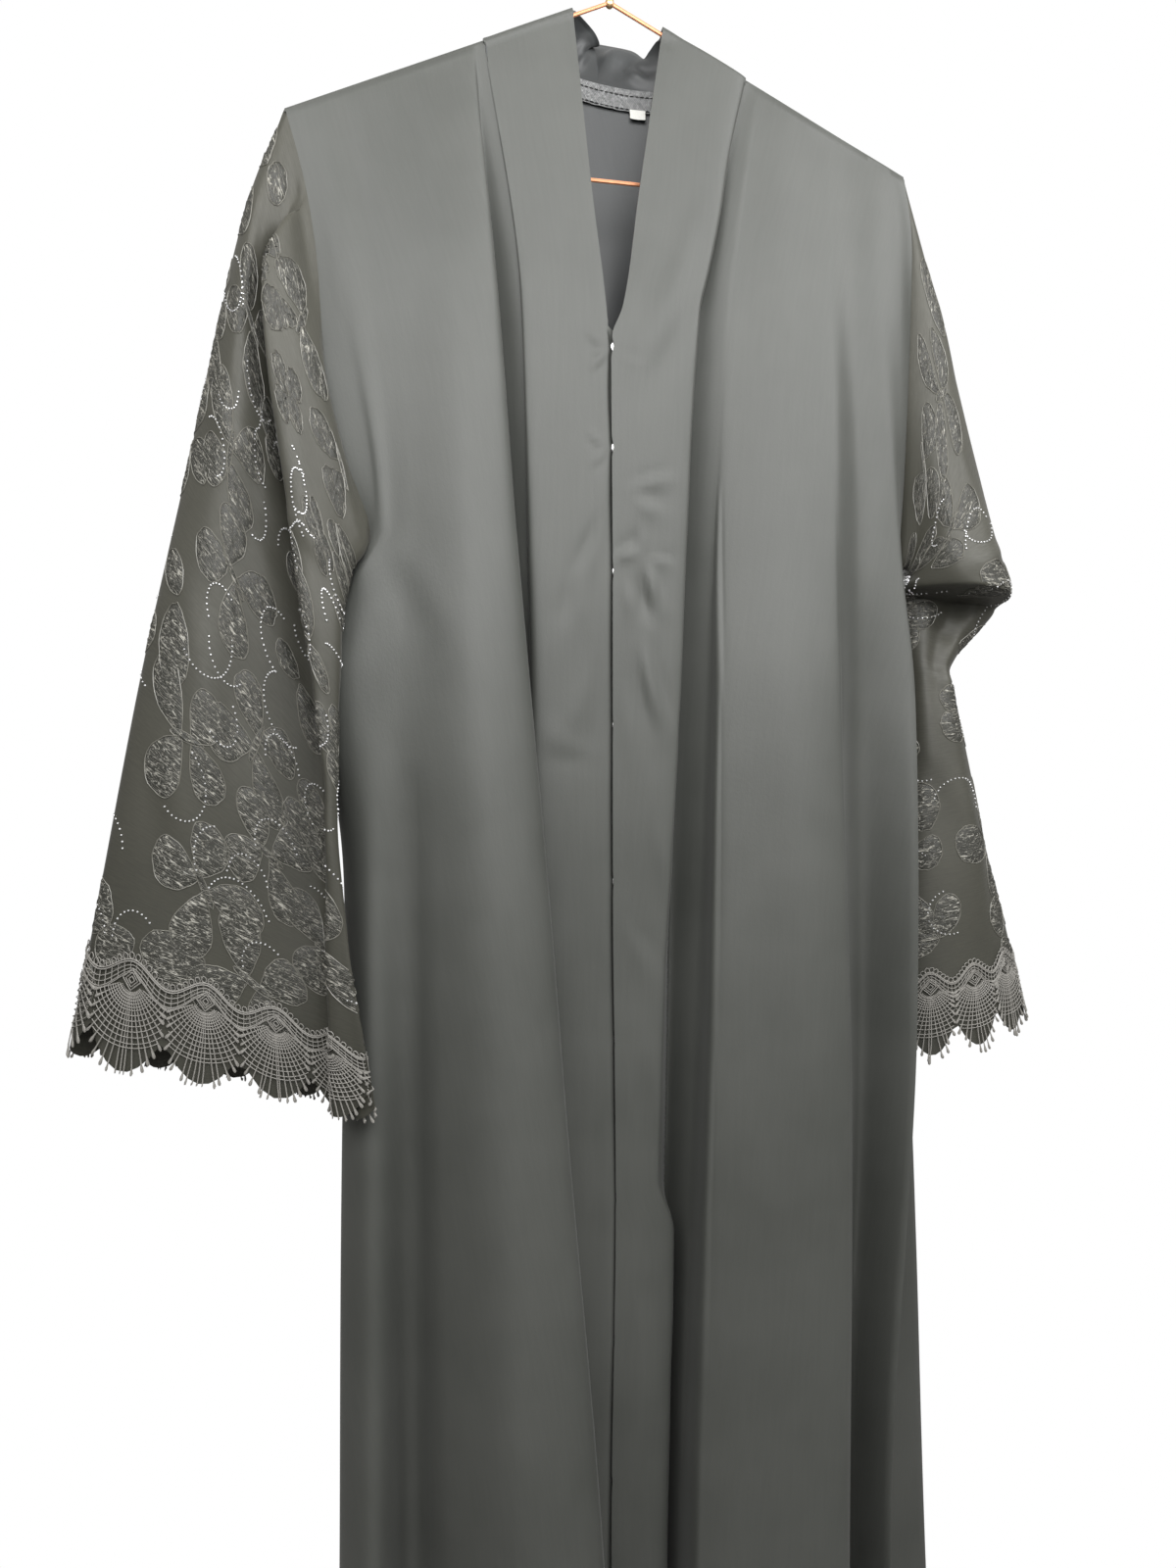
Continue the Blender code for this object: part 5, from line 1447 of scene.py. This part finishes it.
# ------------------------------------------------------- what lies on the sleeves
class Surface:
    """A sleeve's surface: metres down it, and a share of the way round it."""

    def __init__(self, grid, normals, places):
        self.grid, self.normals, self.places = grid, normals, places
        steps = length_of(np.roll(grid, -1, axis=1) - grid)[..., 0]
        self.arcs = np.concatenate((np.zeros((len(grid), 1)), np.cumsum(steps, axis=1)), axis=1)
        down = length_of(np.diff(grid, axis=0))[..., 0].mean(axis=1)
        self.down = np.concatenate(([0.0], np.cumsum(down)))
        self.cuff = float(np.interp(1.0, places, self.down))
        after = unit(np.roll(grid, -1, axis=1) - grid)
        half_turn = length_of(after + np.roll(after, 1, axis=1)) / 2
        self.outwards = normals * np.minimum(2.0, 1 / np.maximum(half_turn, 1e-3))

    def at(self, down, share, aside, lift):
        """Points and normals, each lifted off the cloth's middle; aside is in metres."""
        down, share, aside, lift = np.broadcast_arrays(*map(np.atleast_1d,
                                                            (down, share, aside, lift)))
        rows = np.interp(down, self.down, np.arange(len(self.down)))
        low = np.minimum(rows.astype(int), len(self.grid) - 2)
        count = self.grid.shape[1]
        columns = np.empty(len(rows))
        for i, r in enumerate(low):
            arc = self.arcs[r]
            columns[i] = np.interp((share[i] * arc[-1] + aside[i]) % arc[-1], arc,
                                   np.arange(count + 1))
        c = columns.astype(int) % count
        d = (c + 1) % count
        u = (columns - columns.astype(int))[:, None]
        v = (rows - low)[:, None]

        def mixed(field):
            upper = field[low, c] * (1 - u) + field[low, d] * u
            lower = field[low + 1, c] * (1 - u) + field[low + 1, d] * u
            return upper * (1 - v) + lower * v

        facing = unit(mixed(self.normals))
        return mixed(self.grid) + mixed(self.outwards) * lift[:, None], facing


class Scallops:
    """The lace's own coordinates on a cuff: scallops along, metres below the humps."""

    def __init__(self, surface):
        self.surface = surface
        row = int(np.searchsorted(surface.places, 1.0))
        self.count = SCALLOPS_FRONT + SCALLOPS_BACK
        self.around = surface.arcs[row][-1]
        self.pitch = self.around / self.count

    def at(self, s, down, lift):
        """Points and normals of the lace."""
        share = (LACE_START + np.asarray(s, float)) / self.count
        return self.surface.at(self.surface.cuff + np.asarray(down, float), share, 0.0, lift)

    def top(self, s):
        """The top edge: a hump in the middle of each scallop, a dip between two."""
        return LACE_DIP * np.cos(np.pi * np.asarray(s, float)) ** 2

    def ladder_foot(self, s):
        """The lower edge of the openwork band, lower in the dips than over a rosette."""
        return LADDER_FOOT + LADDER_DIP * np.abs(np.cos(np.pi * np.asarray(s, float))) ** 1.6

    def bottom(self, s):
        """Where the tips end."""
        lobe = np.abs(np.sin(np.pi * np.asarray(s, float))) ** 0.85
        return LACE_HEIGHT - LACE_VALLEY * (1 - lobe)

    def thread(self, joined, s, down, radius, closed=False, sides=5, lift=LACE_REST):
        """One thread of the lace."""
        path, facing = self.at(s, down, lift)
        add_tube(joined, path, facing, radius, sides, closed)


def build_lace(side, surface):
    """The cuff's guipure lace: picots, rails, ladder, rosettes, fans and tips."""
    lace = Scallops(surface)
    joined = Joined()
    round_cuff = np.arange(lace.count * 18) / 18
    add_picots(joined, lace)
    top = lace.top(round_cuff)
    foot = lace.ladder_foot(round_cuff)
    for drop in RAIL_DROPS:
        lace.thread(joined, round_cuff, top + drop, RAIL_THREAD, True,
                    lift=LACE_REST + RAIL_OVER)
    head = top + RAIL_DROPS[1]
    for share in LADDER_SHARES:
        lace.thread(joined, round_cuff, head + share * (foot - head), LONG_THREAD, True)
    lace.thread(joined, round_cuff, foot - 0.0004, FOOT_THREADS[0], True,
                lift=LACE_REST + FOOT_OVER)
    lace.thread(joined, round_cuff, foot + 0.0005, FOOT_THREADS[1], True)
    for bar in range(lace.count * LADDER_BARS):
        s = (bar + 0.5) / LADDER_BARS
        head, foot = float(lace.top(s)) + RAIL_DROPS[1], float(lace.ladder_foot(s))
        lean = LADDER_LEAN * math.sin(2 * math.pi * s)
        lace.thread(joined, s + lean * np.array((-1.0, 0.0, 1.0)),
                    np.linspace(head, foot, 3), BAR_THREAD, sides=4)
    for scallop in range(lace.count):
        add_rosette(joined, lace, scallop)
        add_fan(joined, lace, scallop)
    piece = joined.build(f"lace_{side}", LACE_THREAD)
    declare(piece, "lace_thread", f"lace_{side}_front", f"lace_{side}_back")
    return piece


def add_picots(joined, lace):
    """The row of little rings along the lace's top edge."""
    turns = np.arange(10) * 2 * math.pi / 10
    fine = np.linspace(0.0, 1.0, 200)
    rise = np.diff(lace.top(fine))
    run = np.concatenate(([0.0], np.cumsum(np.hypot(rise, np.diff(fine) * lace.pitch))))
    for number in range(lace.count * PICOTS):
        scallop, place = divmod(number, PICOTS)
        s = np.interp((place + 0.5) / PICOTS * run[-1], run, fine)
        slope = math.atan2(float(lace.top(s + 0.01) - lace.top(s - 0.01)), 0.02 * lace.pitch)
        across = PICOT_HALF[0] * np.cos(turns)
        down = PICOT_HALF[1] * np.sin(turns)
        u = across * math.cos(slope) - down * math.sin(slope)
        v = across * math.sin(slope) + down * math.cos(slope)
        centre = float(lace.top(s)) + PICOT_DROP
        lace.thread(joined, scallop + s + u / lace.pitch, centre + v, PICOT_THREAD, True, 4)


def add_rosette(joined, lace, scallop):
    """The nested diamonds in the head of a fan."""
    corners = np.arange(4) * math.pi / 2
    for size, radius in ROSETTE_DIAMONDS:
        x, y = size * np.cos(corners), size * np.sin(corners)
        x = np.ravel(np.stack((x, (x + np.roll(x, -1)) / 2), axis=1))
        y = np.ravel(np.stack((y, (y + np.roll(y, -1)) / 2), axis=1))
        lace.thread(joined, scallop + 0.5 + x / lace.pitch, ROSETTE_DROP + y, radius, True,
                    lift=LACE_REST + ROSETTE_OVER)


def fan_reach(lace, angle):
    """How far a ray runs from the rosette: to the tips' line or the next scallop."""
    reach = np.linspace(0.006, 0.060, 220)
    s = 0.5 + reach * math.sin(angle) / lace.pitch
    down = ROSETTE_DROP + reach * math.cos(angle)
    inside = (np.abs(s - 0.5) < 0.49) & (down < lace.bottom(s))
    return reach[inside][-1] if inside.any() else 0.008


def add_fan(joined, lace, scallop):
    """Rays with thickened tips, crossed by arcs round the rosette."""
    rng = np.random.default_rng(40 + scallop)
    widest = math.radians(FAN_HALF_ANGLE)
    for k in range(-FAN_RAYS, FAN_RAYS + 1):
        share = k / FAN_RAYS
        angle = widest * math.copysign(abs(share) ** 1.22, share)
        end = fan_reach(lace, angle) + rng.uniform(-0.0012, 0.0010)
        begin = FAN_STARTS[0] if abs(angle) < 1.0 else FAN_STARTS[1]
        reach = np.array([begin, 0.35 * end + 0.65 * begin, 0.7 * end + 0.3 * begin,
                          end - 0.0060, end - 0.0040, end - 0.0024, end - 0.0010, end])
        reach = np.maximum.accumulate(reach + np.arange(8) * 1e-5)
        bend = angle + 0.05 * rng.uniform(-1, 1) * (reach / 0.05) ** 2
        s = scallop + 0.5 + reach * np.sin(bend) / lace.pitch
        down = ROSETTE_DROP + reach * np.cos(bend)
        tip = rng.uniform(0.85, 1.1)
        radii = np.array(RAY_THREADS)
        radii[4:] *= tip
        lace.thread(joined, s, down, radii, sides=6, lift=LACE_REST + RAY_OVER)
    for radius in FAN_ARCS:
        angles = np.linspace(-widest, widest, 27)
        s = 0.5 + radius * np.sin(angles) / lace.pitch
        down = ROSETTE_DROP + radius * np.cos(angles)
        inside = (np.abs(s - 0.5) < 0.492) & (down > lace.ladder_foot(s) + 0.0003)
        inside &= down < lace.bottom(s) - 0.006
        if inside.sum() > 3:
            lace.thread(joined, scallop + s[inside], down[inside], ARC_THREAD, sides=4,
                        lift=LACE_REST + ARC_OVER)


def teardrop(length, width, fullness, count=36):
    """A closed outline: a point at the origin, its round end up the first axis."""
    turn = np.arange(count) * 2 * math.pi / count
    along = length / 2 * (1 - np.cos(turn))
    aside = width / 2 * np.sin(turn) * np.sin(turn / 2) ** fullness
    return np.stack((along, aside), axis=1)


def turned(outline, degrees, shift=(0.0, 0.0)):
    """An outline turned about the origin, then moved."""
    turn = math.radians(degrees)
    cos, sin = math.cos(turn), math.sin(turn)
    return outline @ np.array(((cos, sin), (-sin, cos))) + shift


def uneven(outline, rng):
    """An outline with hand-drawn unevenness."""
    middle = outline.mean(axis=0)
    turn = np.arange(len(outline)) * 2 * math.pi / len(outline)
    swing = sum(rng.uniform(0.4, 1.0) * reach * np.sin(k * turn + rng.uniform(0, 6.3))
                for k, reach in ((2, 0.040), (3, 0.040), (7, 0.022), (11, 0.016)))
    return middle + (outline - middle) * (1 + swing)[:, None]


def butterfly(size):
    """Four wings and a body, as outlines."""
    shapes = [turned(teardrop(1.00 * size, 0.86 * size, 1.10), side * 52, (0.10 * size, 0))
              for side in (-1, 1)]
    shapes += [turned(teardrop(0.80 * size, 0.80 * size, 0.80), side * 126, (-0.08 * size, 0))
               for side in (-1, 1)]
    return shapes + [turned(teardrop(0.66 * size, 0.12 * size, 0.2, 16), 0, (-0.30 * size, 0))]


def blossom(size):
    """Four round petals."""
    return [turned(teardrop(0.66 * size, 0.66 * size, 0.35), 90 * k + 20) for k in range(4)]


def spray(size):
    """Three leaves from one point."""
    return [turned(teardrop(length * size, 0.60 * size, 0.7), degrees)
            for degrees, length in ((-56, 0.80), (2, 1.05), (60, 0.75))]


def lone_petals(size):
    """Two petals side by side, one larger."""
    return [turned(teardrop(0.95 * size, 0.84 * size, 0.40), 16),
            turned(teardrop(0.62 * size, 0.56 * size, 0.40), -124, (-0.10 * size, 0))]


MOTIFS = (butterfly, lone_petals, butterfly, butterfly, spray, blossom)


def scatter(surface, rng, spacing, low, high):
    """Seeded places on a sleeve: metres down and a share round, well spread."""
    found = []
    for _ in range(4000):
        down = rng.uniform(low, high)
        share = rng.uniform(0.0, 1.0)
        around = float(np.interp(down, surface.down, surface.arcs[:, -1]))
        apart = [math.hypot(down - d, around * ((share - s + 0.5) % 1.0 - 0.5))
                 for d, s in found]
        if not apart or min(apart) > spacing:
            found.append((down, share))
    return found


def add_patch(raised, cords, surface, down, share, outline, rng):
    """A raised woven patch inside an outline, and the fine cord round it."""
    count = len(outline)
    middle = outline.mean(axis=0)
    phase = rng.uniform(0, 6.3, 4)
    outer = PATCH_RINGS[1:]
    flat = np.concatenate([middle[None]] + [middle + q * (outline - middle) for q in outer])
    depth = np.concatenate([[0.0]] + [np.full(count, q) for q in outer])
    crumple = (np.sin(1700 * flat[:, 0] + 900 * flat[:, 1] + phase[0])
               * np.sin(620 * flat[:, 1] + phase[1]) + 0.7 * np.sin(2600 * flat[:, 0] + phase[2]))
    lift = SHELL / 2 + MOTIF_HEIGHT * (1 - depth ** 6) * (1 + 0.30 * crumple) - 0.0001
    points, _ = surface.at(down + flat[:, 0], share, flat[:, 1], lift)
    under, _ = surface.at(down + middle[0], share, middle[1], 0.0)
    last = 1 + (len(PATCH_RINGS) - 2) * count
    faces = [(0, 1 + k, 1 + (k + 1) % count) for k in range(count)]
    for ring in range(len(PATCH_RINGS) - 2):
        a = 1 + ring * count
        for k in range(count):
            m = (k + 1) % count
            faces.append((a + k, a + count + k, a + count + m, a + m))
    faces += [(len(points), last + (k + 1) % count, last + k) for k in range(count)]
    grain = np.concatenate((flat, middle[None])) + rng.uniform(0, 1, 2)
    raised.add(np.concatenate((points, under)), faces, grain[:, ::-1])
    path, facing = surface.at(down + outline[:, 0], share, outline[:, 1], SHELL / 2 + 0.0003)
    add_tube(cords, path, facing, CORD_RADIUS * rng.uniform(0.7, 1.3, count), 4, True)


def build_motifs(side, surface):
    """The jacquard's raised motifs, the cords round them and the rows of stones."""
    rng = np.random.default_rng(SEEDS[side])
    raised, cords, stones = Joined(), Joined(), Joined()
    places = scatter(surface, rng, MOTIF_SPACING, MOTIF_TOP, surface.cuff)
    for number, (down, share) in enumerate(places):
        shapes = MOTIFS[number % len(MOTIFS)](rng.uniform(*MOTIF_SIZES))
        heading = rng.uniform(-180, 180)
        for shape in shapes:
            outline = turned(uneven(shape, rng), heading)
            if down + outline[:, 0].min() > 0.006:
                add_patch(raised, cords, surface, down, share, outline, rng)
    places = scatter(surface, rng, STONE_SPACING, MOTIF_TOP + STONE_TOP, surface.cuff - 0.01)
    for down, share in places:
        add_stones(stones, surface, down, share, rng)
    pieces = []
    for shape, name, look, slot in (
            (raised, "motifs", MOTIF_WEAVE, "jacquard"),
            (cords, "motif_cords", MOTIF_CORD, "jacquard"),
            (stones, "stones", STONE, "rhinestone")):
        pieces.append(shape.build(f"{name}_{side}", look, 35.0))
        declare(pieces[-1], slot)
    return pieces


def add_stones(stones, surface, down, share, rng):
    """A curved row of small round stones, one bend or two."""
    heading = rng.uniform(0, 2 * math.pi)
    bend = rng.choice((-1, 1)) * rng.uniform(*STONE_BENDS)
    turn_at = rng.integers(*STONE_TURN_AT)
    place = np.zeros(2)
    for number in range(min(rng.integers(*STONES_PER_ROW), int(3.4 / abs(bend * STONE_STEP)))):
        heading += bend * STONE_STEP * (1 if number < turn_at else -0.7)
        place = place + STONE_STEP * np.array((math.cos(heading), math.sin(heading)))
        if down + place[0] < 0.008 or down + place[0] > surface.cuff - 0.001:
            break
        add_stone(stones, surface, down + place[0], share, place[1], rng)


def add_stone(stones, surface, down, share, aside, rng):
    """One faceted stone, set flat on the cloth."""
    turns = np.arange(6) * math.pi / 3 + rng.uniform(0, 1)
    size = rng.uniform(*STONE_RADII)
    rings = ((1.0, 0.0, 0.0), (1.0, 0.00022, 0.0), (0.58, 0.00062, math.pi / 6))
    base = SHELL / 2 + rng.uniform(0.0001, 0.0003)
    centre, facing = surface.at(down, share, aside, base)
    along = unit(np.cross(facing, (0.3, 0.2, 1.0)))
    aside_way = np.cross(facing, along)
    points = []
    for radius, height, twist in rings:
        for turn in turns + twist:
            reach = size * radius
            points.append(centre[0] + facing[0] * height + along[0] * reach * math.cos(turn)
                          + aside_way[0] * reach * math.sin(turn))
    faces = [tuple(range(6))[::-1], tuple(range(12, 18))]
    for ring in (0, 6):
        for k in range(6):
            m = (k + 1) % 6
            faces.append((ring + k, ring + m, ring + 6 + m, ring + 6 + k))
    stones.add(points, faces)


# --------------------------------------------------------------- light and camera
def add_area(name, place, aim, size, power):
    """A square soft light at a place, aimed at a point."""
    lamp = bpy.data.lights.new(name, "AREA")
    lamp.shape = "SQUARE"
    lamp.size = size
    lamp.energy = power
    light = bpy.data.objects.new(name, lamp)
    light.location = place
    light.visible_camera = False
    light.rotation_euler = (Vector(aim) - Vector(place)).to_track_quat("-Z", "Y").to_euler()
    bpy.context.scene.collection.objects.link(light)


def build_room():
    """A white room: plain white where it is seen, softer light from above than below."""
    world = bpy.data.worlds.new("white room")
    world.use_nodes = True
    tree = world.node_tree
    n = Nodes(tree)
    seen = tree.nodes["Background"]
    seen.inputs["Color"].default_value = (1, 1, 1, 1)
    soft = n.add("ShaderNodeBackground")
    up = n.add("ShaderNodeSeparateXYZ")
    n.put(up.inputs[0], n.add("ShaderNodeTexCoord").outputs["Generated"])
    n.put(soft.inputs["Strength"], n.spread(up.outputs["Z"], -0.6, 0.8, *ROOM_LIGHT))
    soft.inputs["Color"].default_value = (*ROOM_COLOUR, 1.0)
    mix = n.add("ShaderNodeMixShader")
    n.put(mix.inputs[0], n.add("ShaderNodeLightPath").outputs["Is Camera Ray"])
    n.put(mix.inputs[1], soft.outputs[0])
    n.put(mix.inputs[2], seen.outputs[0])
    n.put(tree.nodes["World Output"].inputs["Surface"], mix.outputs[0])
    bpy.context.scene.world = world


def build_stage():
    """The pale floor, the white room, the lights and the camera."""
    build_room()
    bpy.context.scene.view_settings.view_transform = "Standard"
    floor = Joined()
    turns = np.arange(96) * 2 * math.pi / 96
    ring = np.stack((FLOOR_RADIUS * np.cos(turns), FLOOR_RADIUS * np.sin(turns),
                     np.full(96, FLOOR_Z)), axis=1)
    floor.add(ring, [tuple(range(96))])
    disc = floor.build("floor", plain_material("pale floor", (.80, .80, .79), .8))
    for light in LIGHTS:
        add_area(*light)
    camera = bpy.data.cameras.new("camera")
    camera.lens = CAMERA_LENS
    camera.sensor_width = CAMERA_SENSOR
    camera.clip_start = 0.02
    view = bpy.data.objects.new("camera", camera)
    view.location = CAMERA_PLACE
    view.rotation_euler = (math.radians(90.0), 0.0, math.radians(CAMERA_TURN))
    bpy.context.scene.collection.objects.link(view)
    bpy.context.scene.camera = view


def main():
    """Build every piece."""
    build_stage()
    grids, normals = body_grids()
    build_body(grids, normals)
    build_bands(grids, normals)
    for side in ("left", "right"):
        build_sleeve(side)
    build_neck_trim(grids["back"])
    build_snaps()
    build_stitches(grids, normals)
    build_hanger()


main()
